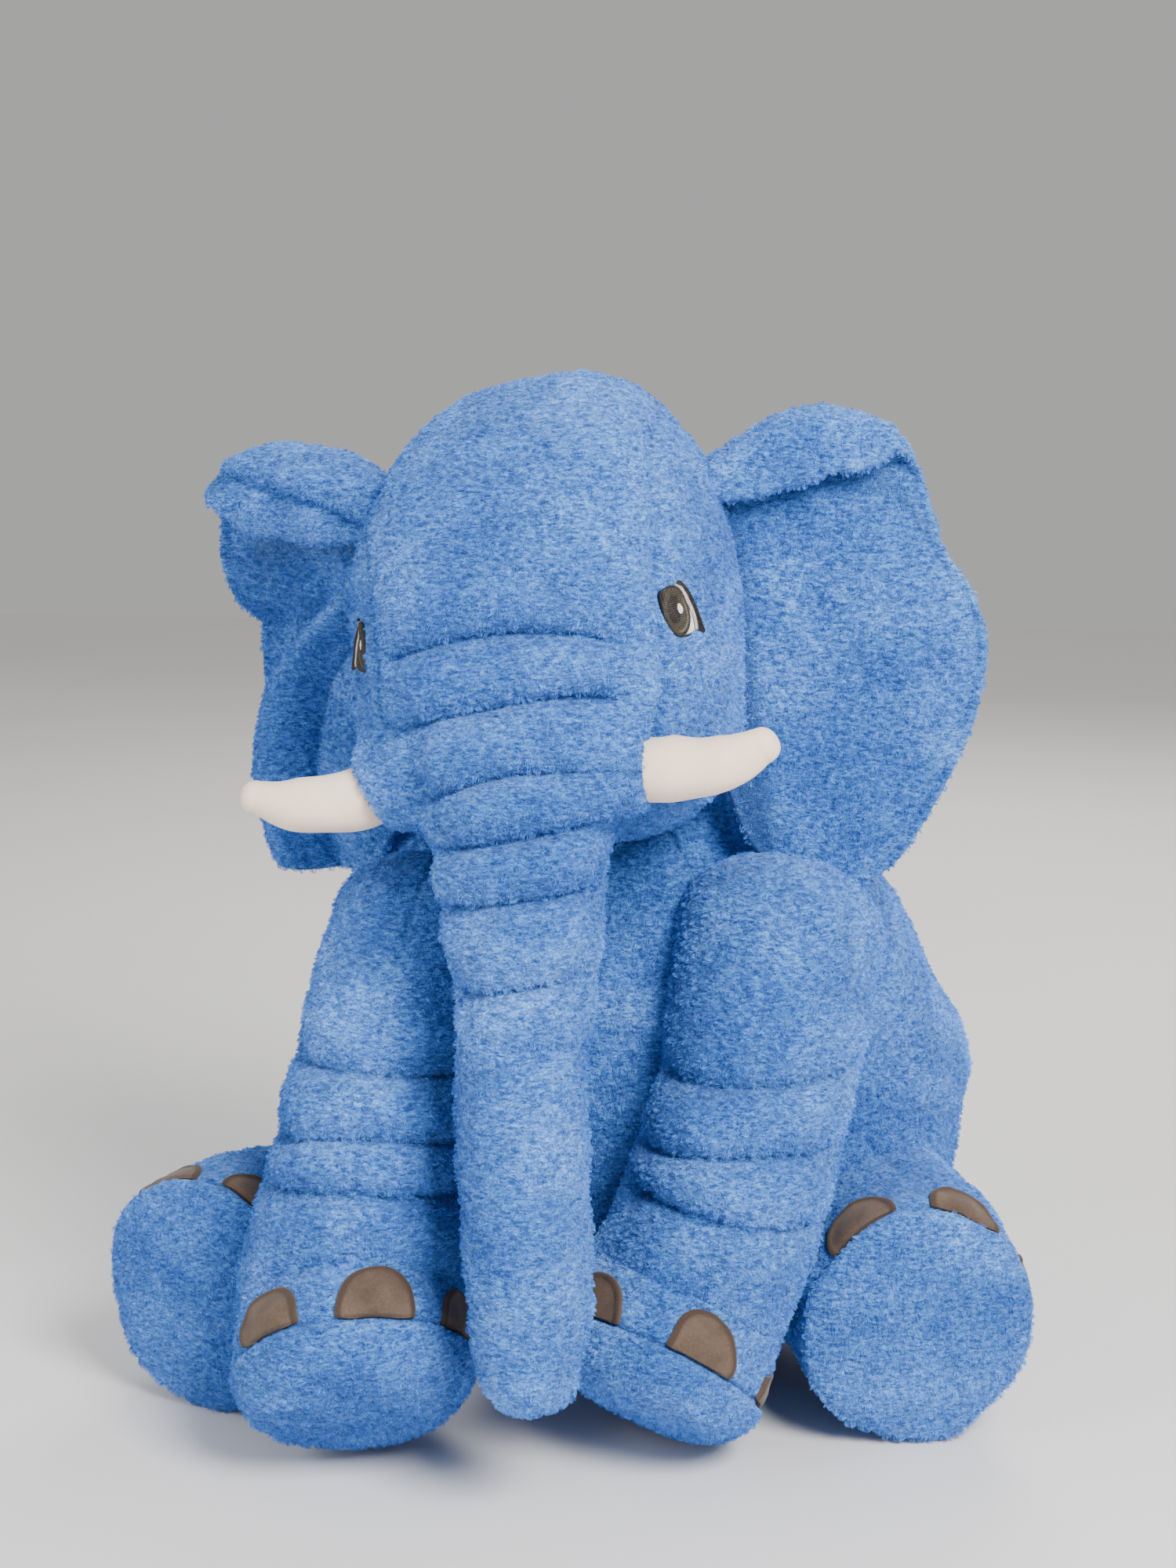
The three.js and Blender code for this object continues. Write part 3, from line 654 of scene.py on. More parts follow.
def torso_profile(u):
    """Height and spread, as shares, at a share u of the way from the base to the neck."""
    return 0.5 - 0.5 * spow(np.cos(u * math.pi), 2 / 2.6), spow(np.maximum(0, np.sin(u * math.pi)), 2 / 2.9)


def build_torso():
    columns = 360
    fine = np.linspace(0, 1, 800)
    height, spread = torso_profile(fine)
    width = np.interp(height, np.linspace(0, 1, 5), TORSO_WIDTHS)
    places = even_rows(np.stack([height * 405, spread * width], -1), 3.0)
    u = np.interp(places, np.arange(800), fine)[:, None]
    height, spread = torso_profile(u)
    path = Path(TORSO_CENTRES)
    spine = np.stack([np.interp(height[:, 0], path.knots, path.points[:, k]) for k in range(3)], -1)[:, None]
    even = lambda values: np.interp(height, np.linspace(0, 1, 5), values)
    turn = np.arange(columns)[None, :] / columns
    angle = 2 * math.pi * turn
    grid = np.stack([
        spine[..., 0] + spread * even(TORSO_WIDTHS) * spow(np.sin(angle), 2 / 2.2),
        spine[..., 1] - spread * even(TORSO_DEPTHS) * spow(np.cos(angle), 2 / 2.2),
        np.maximum(0, spine[..., 2] - 6) + 0 * angle,
    ], -1)
    normals = grid_normals(grid)
    body = ramp(u, 0.22, 0.27)
    # Grooves for the seams, with painted shade along them.
    move, dark = 0, 0
    for seam in TORSO_SEAMS:
        gap = turn_gap(turn, seam) * TORSO_GIRTH
        move = move + groove(gap, 2.6, 2.0) * body
        dark = np.maximum(dark, 0.45 * bell(gap, 1.7) * body)
    base = (u - 0.235) * 560
    move += groove(base, 2.6, 2.2) * ramp(grid[..., 2], 2, 14)
    move += (1.6 * wobble(grid, 95, 21) + 0.8 * wobble(grid, 34, 22) + 0.3 * wobble(grid, 13, 23)) * body
    grid = grid + normals * move[..., None]
    grid[..., 2] = np.maximum(grid[..., 2], 0.2)
    obj = ring_object("torso_skin", grid)
    mark_grid(obj, "painted_shade", dark)
    return obj


# ---------------------------------------------------------------- ears

EAR_OUT, EAR_BACK = 98, 22
EAR_SWEEP = math.radians(18)


def from_ear(side, out, up, lift):
    """A point of an ear laid flat (out from the head and up), lifted off that plane."""
    x = EAR_OUT + out * math.cos(EAR_SWEEP) + lift * math.sin(EAR_SWEEP)
    y = EAR_BACK + out * math.sin(EAR_SWEEP) - lift * math.cos(EAR_SWEEP)
    return from_head(np.stack([side * x, y, up + 0 * x], -1))


# Each ear laid flat: its outline, the line that its top folds forward over, the radius of that
# roll, and half of what its padded middle adds to its thickness.
EARS = {
    "left": dict(
        side=1, roll=9.5, half=5.5,
        outline=[(-18, 84), (3, 114), (35, 136), (61, 135), (90, 114), (106, 74), (114, 40),
                 (118, 18), (130, -5), (136, -30), (133, -52), (124, -78), (109, -106), (90, -134),
                 (72, -153), (48, -161), (22, -156), (3, -142), (-9, -116), (-18, -60), (-20, 10)],
        fold=([-20, 3, 35, 61, 94, 104, 112], [62, 71, 84, 86, 76, 62, 48])),
    "right": dict(
        side=-1, roll=12.0, half=6.0,
        outline=[(-22, 84), (-16, 129), (15, 155), (56, 164), (89, 146), (106, 117), (117, 88), (130, 60),
                 (139, 30), (142, -4), (140, -34), (132, -80), (115, -112), (96, -130), (66, -135),
                 (40, -133), (18, -114), (-8, -78), (-20, 0)],
        fold=([-20, 15, 58, 96, 116, 128, 140], [76, 88, 96, 90, 78, 68, 60])),
}
# The painted shade under the folded top: how dark, how far below the fold and how wide.
HOLLOW_SHADE = {"left": (0.6, 22, 9), "right": (0.7, 33, 15)}
# The line crumpled across the right ear's folded top: places out, and their heights.
EAR_CREASE = ([-20, -11, 27, 75, 110], [60, 66, 83, 99, 104])


def closed_curve(points, count):
    """Evenly spaced points of a smooth closed curve through the given ones."""
    p = np.array(points, float)
    n = len(p)
    t = np.linspace(0, 1, 30, endpoint=False)[:, None]
    fine = np.vstack([spline(p[k - 1], p[k], p[(k + 1) % n], p[(k + 2) % n], t) for k in range(n)])
    fine = np.vstack([fine, fine[:1]])
    length = np.concatenate([[0], np.cumsum(np.linalg.norm(np.diff(fine, axis=0), axis=1))])
    even = np.linspace(0, length[-1], count, endpoint=False)
    return np.stack([np.interp(even, length, fine[:, k]) for k in range(2)], -1)


def left_ear_lift(out, up):
    lift = 14 * (np.clip(out, 0, 200) / 140) ** 2
    lift = lift - 7 * bell(out - 30, 30) * bell(up - 30, 45)
    lift = lift + 5 * bell(out - 95, 40) * bell(up + 20, 60)
    return lift


def right_ear_lift(out, up):
    ridge = np.interp(up, [-140, -74, -49, -22, -4, 13, 32, 60], [96, 100, 92, 78, 61, 38, 12, -4])
    past = out - ridge
    lower = 1 - ramp(up, 0, 40)
    lift = 15 * bell(past, 17) * (1 - ramp(up, 30, 62)) - 8 * bell(past + 27, 13) * lower
    lift = lift - 4 * bell(past + 25, 3.5) * lower
    drop = np.interp(up, [-140, -112, -78, -45, -12, 11, 26, 55, 80], [0, 6, 28, 36, 42, 46, 22, 4, 0])
    lift = lift - drop * ramp(past, 4, 50)
    lift = lift - 14 * bell(out - 76, 40) * bell(up - 38, 26) - 9 * bell(out - 62, 44) * bell(up - 54, 15)
    return lift + 1


EAR_LIFT = {"left": left_ear_lift, "right": right_ear_lift}


def build_ear(name):
    ear = EARS[name]
    side, roll = ear["side"], ear["roll"]
    columns = 420
    rim = closed_curve(ear["outline"], columns)[None]
    shares = np.concatenate([np.linspace(0, 0.9, 52), [0.918, 0.934, 0.95, 0.962, 0.974, 0.985, 0.993, 1.0]])
    share = shares[:, None, None]
    middle = vec(68, 10)
    flat = middle + (rim - middle) * share
    crown = np.sqrt(np.maximum(0, 1 - shares ** 2))[:, None]
    edge = (1 - shares)[:, None] * np.linalg.norm(rim - middle, axis=-1)
    half = 3.4 * np.sqrt(np.clip(edge / 3.4, 0, 1) * (2 - np.clip(edge / 3.4, 0, 1)))
    half = half + ear["half"] * crown * ramp(edge, 0, 45)
    out, up = flat[..., 0], flat[..., 1]
    fold = np.interp(out, *ear["fold"])
    over = ramp(up - fold, 4, 24)
    half = half * (1 + 0.35 * over)
    half_front = half - 1.3 * bell(edge - 6.5, 1.6) - 0.8 * bell(edge - 6.5, 6)

    def place(lift_side, thickness):
        thick = lift_side * thickness
        lift = EAR_LIFT[name](out, up)
        lift = lift + 1.2 * wobble(np.stack([out, up, 0 * up], -1), 60, 31 + side)
        past = np.maximum(0, up - fold)
        bend = np.minimum(past / roll, math.pi * 1.02)
        rest = past - bend * roll
        new_up = np.where(past > 0, fold + (roll - thick) * np.sin(bend) + rest * np.cos(bend), up)
        forward = np.where(past > 0, roll - (roll - thick) * np.cos(bend) + rest * np.sin(bend), thick)
        if name == "right":
            gap = new_up - np.interp(out, *EAR_CREASE)
            flap = ramp(past, 0.8 * roll, 1.9 * roll)
            humps = 1 + 0.9 * wobble(np.stack([out, new_up, 0 * out], -1), 44, 5)
            crease = 5.5 * bell(gap, 3.2) * (1 - ramp(out, 80, 108))
            forward = forward + flap * (3.5 * humps * bell(gap - 11, 9) - crease + 2.5 * bell(gap + 13, 9))
        return from_ear(side, out, new_up, lift + forward)

    front = place(1, half_front)
    back = place(-1, half)
    grid = np.concatenate([front, back[::-1][1:]])
    obj = ring_object("ear_" + name, grid)
    # Painted shade on the front face, under the folded top and beside the head at the ear's root.
    below = fold - up
    dark, drop, width = HOLLOW_SHADE[name]
    shade = dark * bell(below - drop, width) * (below > 0) * ramp(out, -14, 16) * (1 - ramp(out, 98, 124))
    shade = np.maximum(shade, 0.8 * (1 - ramp(out, 3, 17)) * (below > 0))
    mark_grid(obj, "painted_shade", np.concatenate([shade, 0 * shade[1:]]))
    return obj


# ---------------------------------------------------------------- tusks, tail

TUSK_PATHS = {  # out, back and up from the middle of the head
    "left": [(42, -72, -69), (82, -71, -73.5), (110, -68.5, -73), (129, -66, -66)],
    "right": [(58, -42, -62), (94, -67, -77), (128, -79, -77), (148, -83, -71)],
}


TUSK_RADII = [18, 17.5, 14.5, 9.5]


def build_tusk(name, side):
    limb = Limb(path=[from_head((side * x, y, z)) for x, y, z in TUSK_PATHS[name]],
                widths=TUSK_RADII, depths=TUSK_RADII, side=HEAD_UP, root=14, end=9.5, square=2.3)
    grid, _, turn, scale = limb.grid(1.2, 72)
    normals = grid_normals(grid)
    line = np.abs(turn_gap(turn[None, :], 0.5)) * 105
    move = groove(line, 0.7, 1.0) * ramp(scale, 0.2, 0.8)[:, None] + 0.35 * wobble(grid, 30, 40 + side)
    return ring_object("tusk_" + name, grid + normals * move[..., None])


def build_tail():
    cover = Limb([(22, 212, 102), (22, 232, 75), (22, 240, 46)], [11, 10, 9], [11, 10, 9],
                 SIDE_AXIS, 9, 5, 2.2)
    grid = cover.grid(1.5, 48)[0]
    tuft = Limb([(22, 240.5, 52), (22, 241, 32), (22, 240, 16)], [8, 13, 9], [8, 13, 9],
                SIDE_AXIS, 5, 7, 2.2)
    tuft_grid, s, turn, scale = tuft.grid(1.5, 72)
    locks = 0.9 * np.sin(2 * math.pi * turn[None, :] * 9 + s[:, None] * 0.12) * scale[:, None]
    tuft_grid = tuft_grid + grid_normals(tuft_grid) * locks[..., None]
    return ring_object("tail_skin", grid), ring_object("tail_tuft_skin", tuft_grid)


# ---------------------------------------------------------------- eyes

EYE_OUTLINE = [(-0.99, 0.76), (-0.83, 0.92), (-0.5, 1.02), (-0.14, 1.02), (0.10, 1.16), (0.34, 0.94),
               (0.62, 0.57), (0.80, 0.18), (0.94, -0.29), (1.08, -1.02), (0.80, -0.93), (0.50, -0.88),
               (0.14, -1.05), (-0.40, -1.02), (-0.66, -0.69), (-0.85, -0.37), (-0.96, 0.1)]
LID_HEIGHTS = [-1, -0.8, -0.3, 0.1, 0.57, 0.88, 1.0]
LID_OUT = [0.66, 0.64, 0.60, 0.52, 0.34, 0.12, -0.10]
EYE_HALF = vec(13.5, 13.2)
THREAD = {
    "dark": (0.010, 0.008, 0.007),
    "iris": (0.036, 0.028, 0.018),
    "ring": (0.15, 0.125, 0.09),
    "white": (0.80, 0.78, 0.74),
    "lid": (0.52, 0.42, 0.42),
    "pupil": (0.018, 0.010, 0.010),
}


def eye_colour(x, y, corner):
    """Thread colour at a point of the eye, in its own units: x outward and y up."""
    ground = np.where(x[..., None] > -0.2, THREAD[corner], THREAD["dark"])
    colour = np.zeros(x.shape + (3,)) + ground

    def lay(name, mask):
        m = np.clip(mask, 0, 1)[..., None]
        colour[:] = colour * (1 - m) + np.array(THREAD[name]) * m

    inside = lambda d, soft=0.03: 1 - ramp(d, -soft, soft)
    iris = np.hypot((x + 0.34 + 0.06 * y) / 0.66, y / 1.03)
    lid = x - np.interp(y, LID_HEIGHTS, LID_OUT)
    lay("lid", inside(np.abs(lid + 0.09) - 0.10))
    lay("dark", inside(np.abs(lid + 0.20) - 0.025, 0.02) * ramp(-y, -0.5, -0.2))
    lay("dark", inside(-lid))
    lay("dark", inside(y + 0.92 + 0.08 * np.abs(x - 0.5), 0.05))
    lay("dark", inside(iris - 1.0))
    lay("iris", inside(iris - 0.90))
    lay("ring", inside(np.abs(iris - 0.80) - 0.03, 0.02) * ramp(x - 0.3 * y, -0.2, 0.1))
    pupil = np.hypot((x + 0.45) / 0.36, (y - 0.06) / 0.56)
    lay("dark", inside(pupil - 1.0, 0.08))
    lay("pupil", inside(pupil - 0.8, 0.08))
    lay("white", inside(np.hypot((x + 0.12 + 0.1 * y) / 0.14, (y - 0.06) / 0.20) - 1, 0.08))
    return colour


def build_eye(name, side, surface):
    """An embroidered eye on the head's skin."""
    ahead = unit(from_head(EYE_PLACES[name]) - HEAD_CENTRE)
    centre = HEAD_CENTRE + 130 * ahead
    hit = surface.ray_cast(Vector(in_frame(centre + 60 * ahead)), Vector(-ahead))
    middle = np.array(hit[0]) / MM - ORIGIN
    normal = unit(np.array(hit[1]))
    up = unit(HEAD_UP - (HEAD_UP @ normal) * normal)
    outward = side * np.cross(up, normal)
    columns = 200
    rim = closed_curve(EYE_OUTLINE, columns)[None]
    shares = np.linspace(0, 1, 46)[:, None, None]
    flat = rim * shares
    x, y = flat[..., 0], flat[..., 1]
    start = middle + normal * 25 + (x * EYE_HALF[0])[..., None] * outward + (y * EYE_HALF[1])[..., None] * up
    laid = np.empty_like(start)
    for index in np.ndindex(start.shape[:2]):
        ray = surface.ray_cast(Vector(in_frame(start[index])), Vector(-normal))
        laid[index] = np.array(ray[0]) / MM - ORIGIN if ray[0] else middle
    threads = 0.16 * np.sin(x * 95 + 6 * y) + 0.10 * np.sin(y * 70)
    share = shares[..., 0]
    lift = 1.2 + 0.7 * (1 - share ** 4) + threads
    lift = np.where(share > 0.995, -0.6, lift)
    top = laid + normal * lift[..., None]
    under = laid - normal * 1.0
    grid = np.concatenate([top, under[::-1][1:]])
    obj = ring_object("eye_" + name + "_stitched", grid)
    colour = eye_colour(x, y, "white" if side > 0 else "iris")
    values = ring_values(np.concatenate([colour, colour[::-1][1:]]))
    attribute = obj.data.color_attributes.new("thread", "FLOAT_COLOR", "POINT")
    values = np.hstack([values, np.ones((len(values), 1))])
    attribute.data.foreach_set("color", values.astype(np.float32).ravel())
    return obj


# ---------------------------------------------------------------- materials

class Nodes:
    """Short ways to lay out a material's nodes."""

    def __init__(self, name):
        self.material = bpy.data.materials.new(name)
        self.material.use_nodes = True
        self.tree = self.material.node_tree
        self.shader = self.tree.nodes["Principled BSDF"]
        self.place = self.add("TexCoord").outputs["Object"]

    def add(self, kind, **settings):
        node = self.tree.nodes.new("ShaderNode" + kind)
        for key, value in settings.items():
            setattr(node, key, value)
        return node

    def link(self, output, socket):
        self.tree.links.new(output, socket)

    def stretched(self, scale, turn=(0, 0, 0)):
        mapping = self.add("Mapping")
        mapping.inputs["Scale"].default_value = scale
        mapping.inputs["Rotation"].default_value = turn
        self.link(self.place, mapping.inputs["Vector"])
        return mapping.outputs["Vector"]

    def noise(self, scale, detail=2.0, rough=0.5, distort=0.0, place=None):
        node = self.add("TexNoise")
        node.inputs["Scale"].default_value = scale
        node.inputs["Detail"].default_value = detail
        node.inputs["Roughness"].default_value = rough
        node.inputs["Distortion"].default_value = distort
        self.link(place or self.place, node.inputs["Vector"])
        return node.outputs["Fac"]

    def ramp(self, value, stops):
        node = self.add("ValToRGB")
        elements = node.color_ramp.elements
        while len(elements) < len(stops):
            elements.new(0.5)
        for element, (position, colour) in zip(elements, stops):
            element.position = position
            element.color = (*colour, 1)
        self.link(value, node.inputs["Fac"])
        return node.outputs["Color"]

    def mix(self, share, a, b, how="MIX"):
        node = self.add("Mix", data_type="RGBA", blend_type=how)
        if isinstance(share, (int, float)):
            node.inputs[0].default_value = share
        else:
            self.link(share, node.inputs[0])
        for socket, value in ((node.inputs[6], a), (node.inputs[7], b)):
            if isinstance(value, tuple):
                socket.default_value = (*value, 1)
            else:
                self.link(value, socket)
        return node.outputs[2]

    def math(self, how, a, b=0.0):
        node = self.add("Math", operation=how)
        for socket, value in ((node.inputs[0], a), (node.inputs[1], b)):
            if isinstance(value, (int, float)):
                socket.default_value = value
            else:
                self.link(value, socket)
        return node.outputs[0]

    def bump(self, height, distance, strength=1.0, under=None):
        node = self.add("Bump")
        node.inputs["Strength"].default_value = strength
        node.inputs["Distance"].default_value = distance
        self.link(height, node.inputs["Height"])
        if under is not None:
            self.link(under, node.inputs["Normal"])
        return node.outputs["Normal"]

    def finish(self, **values):
        for key, value in values.items():
            socket = self.shader.inputs[key]
            if isinstance(value, bpy.types.NodeSocket):
                self.link(value, socket)
            else:
                socket.default_value = value
        return self.material


def plush_colour(n, light):
    """Colour of the brushed pile, with painted shade in the tucks, seams and folds, and its streaks' height.
    """
    base = n.ramp(n.noise(14, 3, 0.55, 0.7), [
        (0.30, (0.028, 0.128, 0.460)), (0.50, (0.052, 0.190, 0.570)), (0.72, (0.102, 0.290, 0.730))])
    streaks = n.noise(330, 3, 0.62, 0.8, n.stretched((0.7, 0.7, 1.9)))
    shade = n.ramp(streaks, [(0.36, (0.34, 0.44, 0.58)), (0.5, (1, 1, 1)), (0.64, (1.95, 1.62, 1.30))])
    colour = n.mix(1.0, base, shade, "MULTIPLY")
    # Painted shade: the colour darkens to navy where a piece marks its tucks, seams and folds.
    painted_shade = n.add("Attribute", attribute_name="painted_shade").outputs["Fac"]
    colour = n.mix(painted_shade, colour, (0.012, 0.045, 0.190))
    return n.mix(1.0, colour, (light, light, light), "MULTIPLY"), streaks


def plush_material():
    n = Nodes("blue_plush")
    colour, streaks = plush_colour(n, 1.0)
    clumps = n.noise(480, 2, 0.6, 1.4)
    dark = n.ramp(clumps, [(0.36, (0.50, 0.58, 0.70)), (0.50, (1, 1, 1)), (0.66, (1.35, 1.25, 1.12))])
    colour = n.mix(1.0, colour, dark, "MULTIPLY")
    fine = n.noise(1200, 2, 0.7)
    height = n.math("ADD", n.math("MULTIPLY", clumps, 0.75), n.math("MULTIPLY", fine, 0.25))
    normal = n.bump(height, 0.0022, 0.9, n.bump(streaks, 0.003, 0.4))
    return n.finish(**{"Base Color": colour, "Roughness": 0.85, "Normal": normal,
                       "Specular IOR Level": 0.2, "Sheen Weight": 0.3, "Sheen Roughness": 0.45,
                       "Sheen Tint": (0.55, 0.75, 1.0, 1)})


def pile_material():
    """The pile's own fibres, which share the plush's patches."""
    n = Nodes("blue_pile")
    colour = plush_colour(n, 1.35)[0]
    tufts = n.ramp(n.noise(420, 2, 0.6, 1.0), [
        (0.36, (0.55, 0.62, 0.72)), (0.5, (1, 1, 1)), (0.66, (1.5, 1.35, 1.18))])
    colour = n.mix(1.0, colour, tufts, "MULTIPLY")
    return n.finish(**{"Base Color": colour, "Roughness": 0.7, "Specular IOR Level": 0.15,
                       "Sheen Weight": 0.15})


def tusk_material():
    n = Nodes("cream_plush")
    base = n.ramp(n.noise(30, 3), [(0.3, (0.92, 0.72, 0.56)), (0.7, (0.98, 0.80, 0.65))])
    fine = n.noise(1600, 2, 0.6)
    normal = n.bump(fine, 0.0005, 0.5, n.bump(n.noise(260, 2), 0.0008, 0.25))
    return n.finish(**{"Base Color": base, "Roughness": 0.75, "Normal": normal,
                       "Specular IOR Level": 0.2, "Sheen Weight": 0.3, "Sheen Roughness": 0.4})


def nail_material():
    n = Nodes("brown_felt")
    border = n.add("Attribute", attribute_name="border").outputs["Fac"]
    felt = n.ramp(n.noise(60, 3), [(0.3, (0.078, 0.050, 0.034)), (0.7, (0.128, 0.086, 0.060))])
    fibres = n.noise(900, 3, 0.7, 1.2)
    shade = n.ramp(fibres, [(0.3, (0.7, 0.7, 0.7)), (0.7, (1.25, 1.25, 1.25))])
    felt = n.mix(1.0, felt, shade, "MULTIPLY")
    colour = n.mix(border, felt, (0.055, 0.034, 0.023))
    normal = n.bump(fibres, 0.0006, 0.6)
    return n.finish(**{"Base Color": colour, "Roughness": 0.8, "Normal": normal,
                       "Specular IOR Level": 0.25, "Sheen Weight": 0.15})


def eye_material():
    n = Nodes("eye_threads")
    colour = n.add("VertexColor", layer_name="thread").outputs["Color"]
    threads = n.noise(700, 2, 0.6, 0.0, n.stretched((2.0, 2.0, 0.35)))
    shade = n.ramp(threads, [(0.3, (0.62, 0.62, 0.62)), (0.7, (1.2, 1.2, 1.2))])
    normal = n.bump(threads, 0.0007, 0.7)
    return n.finish(**{"Base Color": n.mix(1.0, colour, shade, "MULTIPLY"), "Roughness": 0.45,
                       "Normal": normal, "Specular IOR Level": 0.4})


def plain_material(name, colour, rough):
    n = Nodes(name)
    low = tuple(0.97 * c for c in colour)
    return n.finish(**{"Base Color": n.ramp(n.noise(3, 2), [(0.3, low), (0.7, colour)]),
                       "Roughness": rough})


# ---------------------------------------------------------------- pile

def keep_clear(obj, patches, reach=2.0):
    """No pile grows on the points that lie under a trim, and little where tucks, seams and folds are painted
    in shade.
    """
    points = get_points(obj)
    weights = np.ones(len(points))
    attribute = obj.data.attributes.get("painted_shade")
    if attribute:
        weights = 1 - 0.8 * np.clip(read(attribute.data, "value", 1)[:, 0], 0, 1)
    for patch in patches:
        spots = get_points(patch)
        tree = KDTree(len(spots))
        for k, spot in enumerate(spots):
            tree.insert(Vector(spot), k)
        tree.balance()
        near = ((points > spots.min(0) - reach) & (points < spots.max(0) + reach)).all(1)
        for k in np.flatnonzero(near):
            if tree.find(Vector(points[k]))[2] < reach:
                weights[k] = 0
    group = obj.vertex_groups.new(name="pile_grows")
    levels = np.round(weights * 5) / 5
    for level in np.unique(levels[levels > 0]):
        group.add([int(k) for k in np.flatnonzero(levels == level)], float(level), "REPLACE")
    return group.name


PILE_PER_AREA = 75000  # guide fibres on a square metre; the rendered ones grow between them
PILE = dict(
    type="HAIR", use_advanced_hair=True, hair_step=2, render_step=2, display_step=2,
    normal_factor=0.00042, factor_random=0.00028, object_align_factor=(0, 0, -0.00022),
    use_even_distribution=True, child_type="INTERPOLATED", child_percent=0,
    rendered_child_count=16, clump_factor=0.6, clump_shape=0.0, roughness_1=0.0003,
    roughness_1_size=0.002, roughness_2=0.0003, roughness_endpoint=0.0003, root_radius=0.30,
    tip_radius=0.10, radius_scale=0.0006, material=2,
)


def add_pile(obj, seed, patches):
    """Short plush fibres over a finished piece, in small clumps."""
    area = sum(face.area for face in obj.data.polygons)
    system = obj.modifiers.new("pile", "PARTICLE_SYSTEM").particle_system
    system.seed = seed
    system.vertex_group_density = keep_clear(obj, patches)
    for key, value in PILE.items():
        setattr(system.settings, key, value)
    system.settings.count = int(area * PILE_PER_AREA)


# ---------------------------------------------------------------- camera, light and floor

def add_light(name, place, target, energy, size, colour):
    data = bpy.data.lights.new(name, "AREA")
    data.energy, data.size, data.color = energy, size, colour
    obj = bpy.data.objects.new(name, data)
    obj.location = place
    obj.rotation_euler = (Vector(target) - Vector(place)).to_track_quat("-Z", "Y").to_euler()
    bpy.context.scene.collection.objects.link(obj)


FLOOR_HALF = 4000


def build_stage():
    corners = FLOOR_HALF * vec(-1, -1, 0, 1, -1, 0, 1, 1, 0, -1, 1, 0).reshape(4, 3)
    floor = make_object("floor", corners - ORIGIN, [(0, 1, 2, 3)])
    floor.data.materials.append(plain_material("pale_floor", (0.84, 0.83, 0.82), 0.6))
    middle = (0, 0, 0.3)
    add_light("key", (1.15, -1.6, 1.75), middle, 106, 0.9, (1.0, 0.98, 0.95))
    add_light("fill", (-1.7, -1.4, 1.2), middle, 30, 1.3, (0.96, 0.98, 1.0))
    add_light("rim", (0.4, 1.9, 1.6), middle, 26, 1.2, (1.0, 0.98, 0.96))
    world = bpy.data.worlds.new("studio")
    bpy.context.scene.world = world
    world.use_nodes = True
    world.node_tree.nodes["Background"].inputs["Color"].default_value = (0.93, 0.92, 0.91, 1)
    world.node_tree.nodes["Background"].inputs["Strength"].default_value = 0.48


CAMERA_TURN, CAMERA_DROP = math.radians(7), math.radians(10)
CAMERA_AWAY = 1500


def build_camera():
    turn, lower = CAMERA_TURN, CAMERA_DROP
    ahead = vec(-math.sin(turn) * math.cos(lower), math.cos(turn) * math.cos(lower), -math.sin(lower))
    right = vec(math.cos(turn), math.sin(turn), 0)
    up = np.cross(right, ahead)
    place = vec(11 * math.cos(turn), 11 * math.sin(turn), 365) - CAMERA_AWAY * ahead
    data = bpy.data.cameras.new("camera")
    data.lens, data.sensor_width = 60, 36
    obj = bpy.data.objects.new("camera", data)
    rows = [(right[k], up[k], -ahead[k], in_frame(place)[k]) for k in range(3)]
    obj.matrix_world = Matrix(rows + [(0, 0, 0, 1)])
    bpy.context.scene.collection.objects.link(obj)
    bpy.context.scene.camera = obj


# ---------------------------------------------------------------- assembly

build_camera()
build_stage()
plush, pile = plush_material(), pile_material()
felt, threads, cream = nail_material(), eye_material(), tusk_material()
furry, trims = [], {}  # skins that grow pile, and the trims laid on each of them


def cover(obj, *nodes, slot="body_plush", material=plush, fill=0.85):
    """Gives a finished piece its material, and hides the CAD nodes that it stands for."""
    obj.data.materials.clear()
    obj.data.materials.append(material)
    if material is plush:
        obj.data.materials.append(pile)
        furry.append(obj)
    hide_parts(*nodes)


torso = build_torso()
cover(torso, "belly_gusset", "torso_panel_left", "torso_panel_right", "base_panel", "torso_stuffing")
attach(torso, "torso")

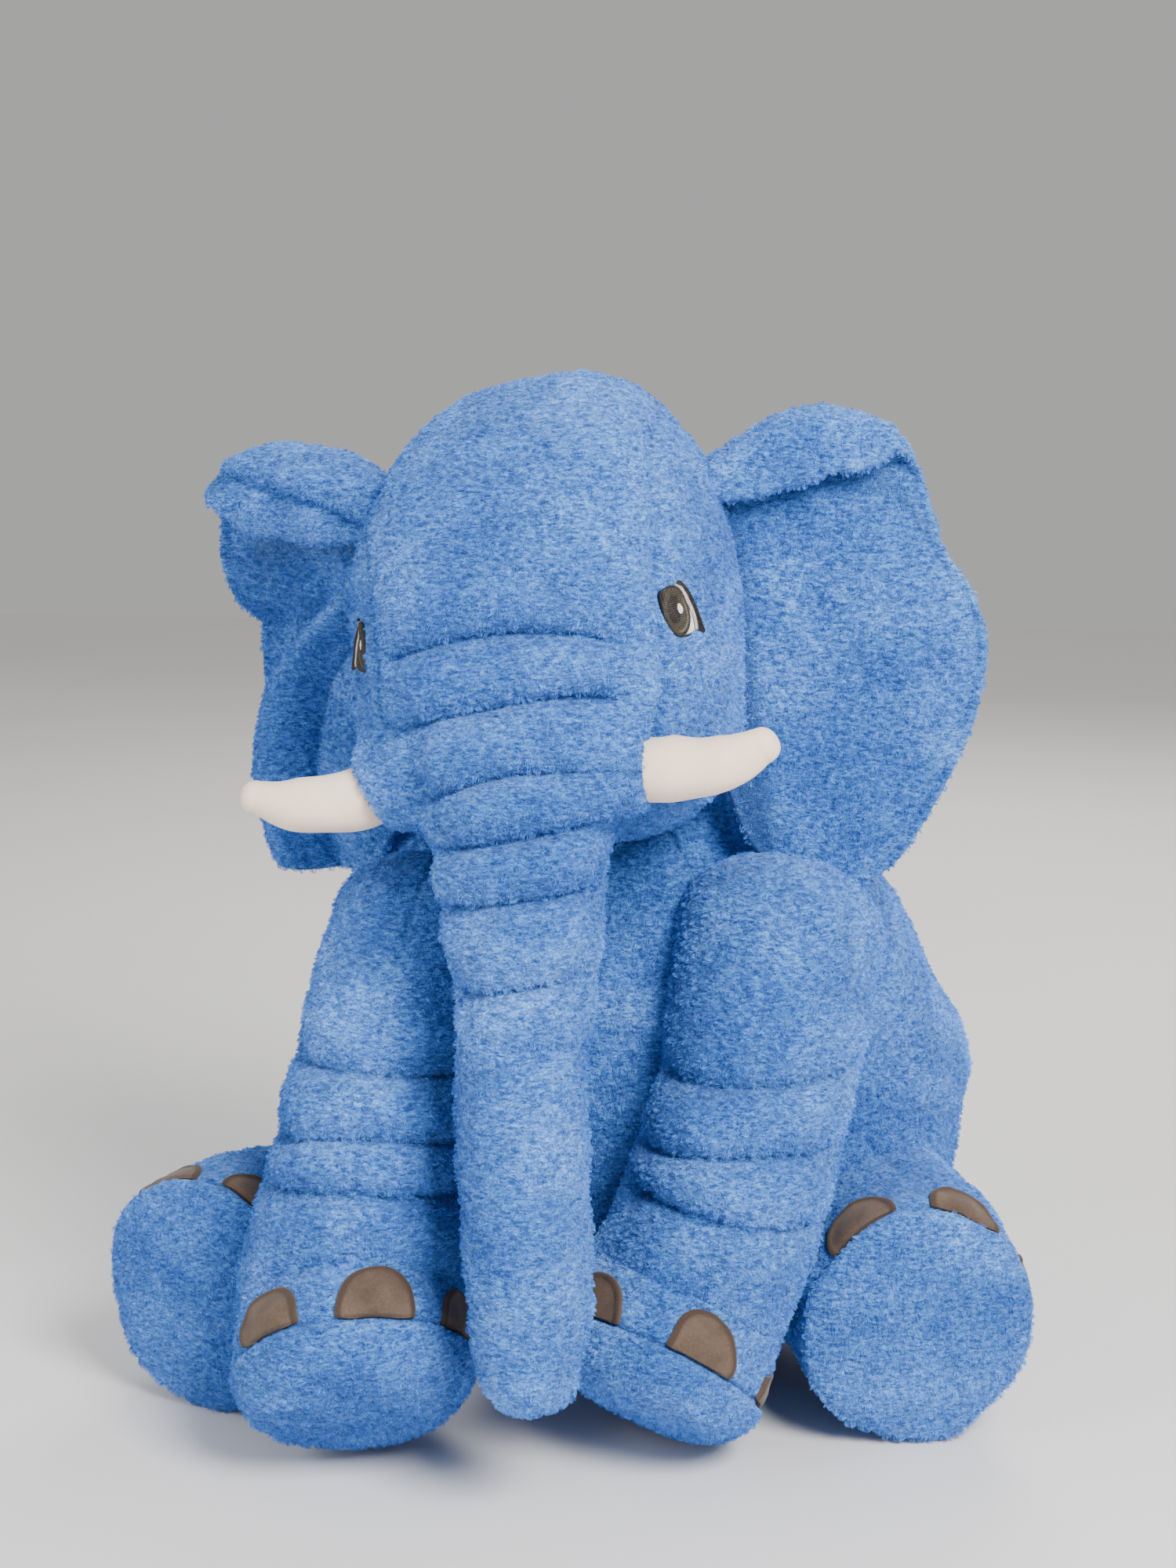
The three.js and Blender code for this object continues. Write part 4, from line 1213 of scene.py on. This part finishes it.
head = build_head()
head_surface = BVHTree.FromObject(head, bpy.context.evaluated_depsgraph_get())
cover(head, "head_panel_left", "head_panel_right", "head_gusset", "chin_panel", "head_stuffing",
      "trunk_upper_front", "trunk_upper_back", "trunk_upper_stuffing")
in_frame((-10, -125, 402))
in_frame((-8, -150, 357))
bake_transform(head)

tip = build_trunk_tip()
cover(tip, "trunk_lower_front", "trunk_lower_back", "trunk_lower_stuffing")
in_frame((-6, -156, 240))
in_frame((-6, -160, 205))
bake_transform(tip)

for name, side in (("left", 1), ("right", -1)):
    ear = build_ear(name)
    cover(ear, f"ear_{name}_front", f"ear_{name}_back", f"ear_{name}_wadding", fill=0.5)
    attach(ear, f"{name}_ear")
    eye = build_eye(name, side, head_surface)
    cover(eye, f"eye_{name}", slot="eye_embroidery", material=threads, fill=None)
    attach(eye, "head")
    trims.setdefault(head.name, []).append(eye)
    tusk = build_tusk(name, side)
    cover(tusk, f"tusk_{name}_cover", f"tusk_{name}_stuffing", slot="tusk_plush", material=cream)
    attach(tusk, "head")

for name in LEGS:
    leg, skin, length = build_leg(name)
    outer, inner = f"{name}_leg_outer", f"{name}_leg_inner"
    cover(leg, outer, inner, f"{name}_sole", f"{name}_leg_stuffing")
    start = vec(*LEGS[name]["path"][0])
    ahead = unit(vec(*LEGS[name]["path"][1]) - start)
    in_frame(start - 34 * ahead)
    in_frame(start + 22 * ahead)
    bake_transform(leg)
    for k in range(3):
        turn = MIDDLE_NAILS[name] + (k - 1) * NAIL_TURNS[name]
        nail = build_nail(f"{name}_toenail_{k + 1}", skin, length, turn, NAIL_HEIGHTS[name])
        cover(nail, f"{name}_nail_{k + 1}", slot="nail_felt", material=felt, fill=None)
        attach(nail, f"{name}_leg")
        trims.setdefault(leg.name, []).append(nail)

tail, tuft = build_tail()
cover(tail, "tail_cover")
cover(tuft, "tail_tuft")
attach(tail, "tail")
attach(tuft, "tail")

for number, obj in enumerate(furry):
    add_pile(obj, number, trims.get(obj.name, []))
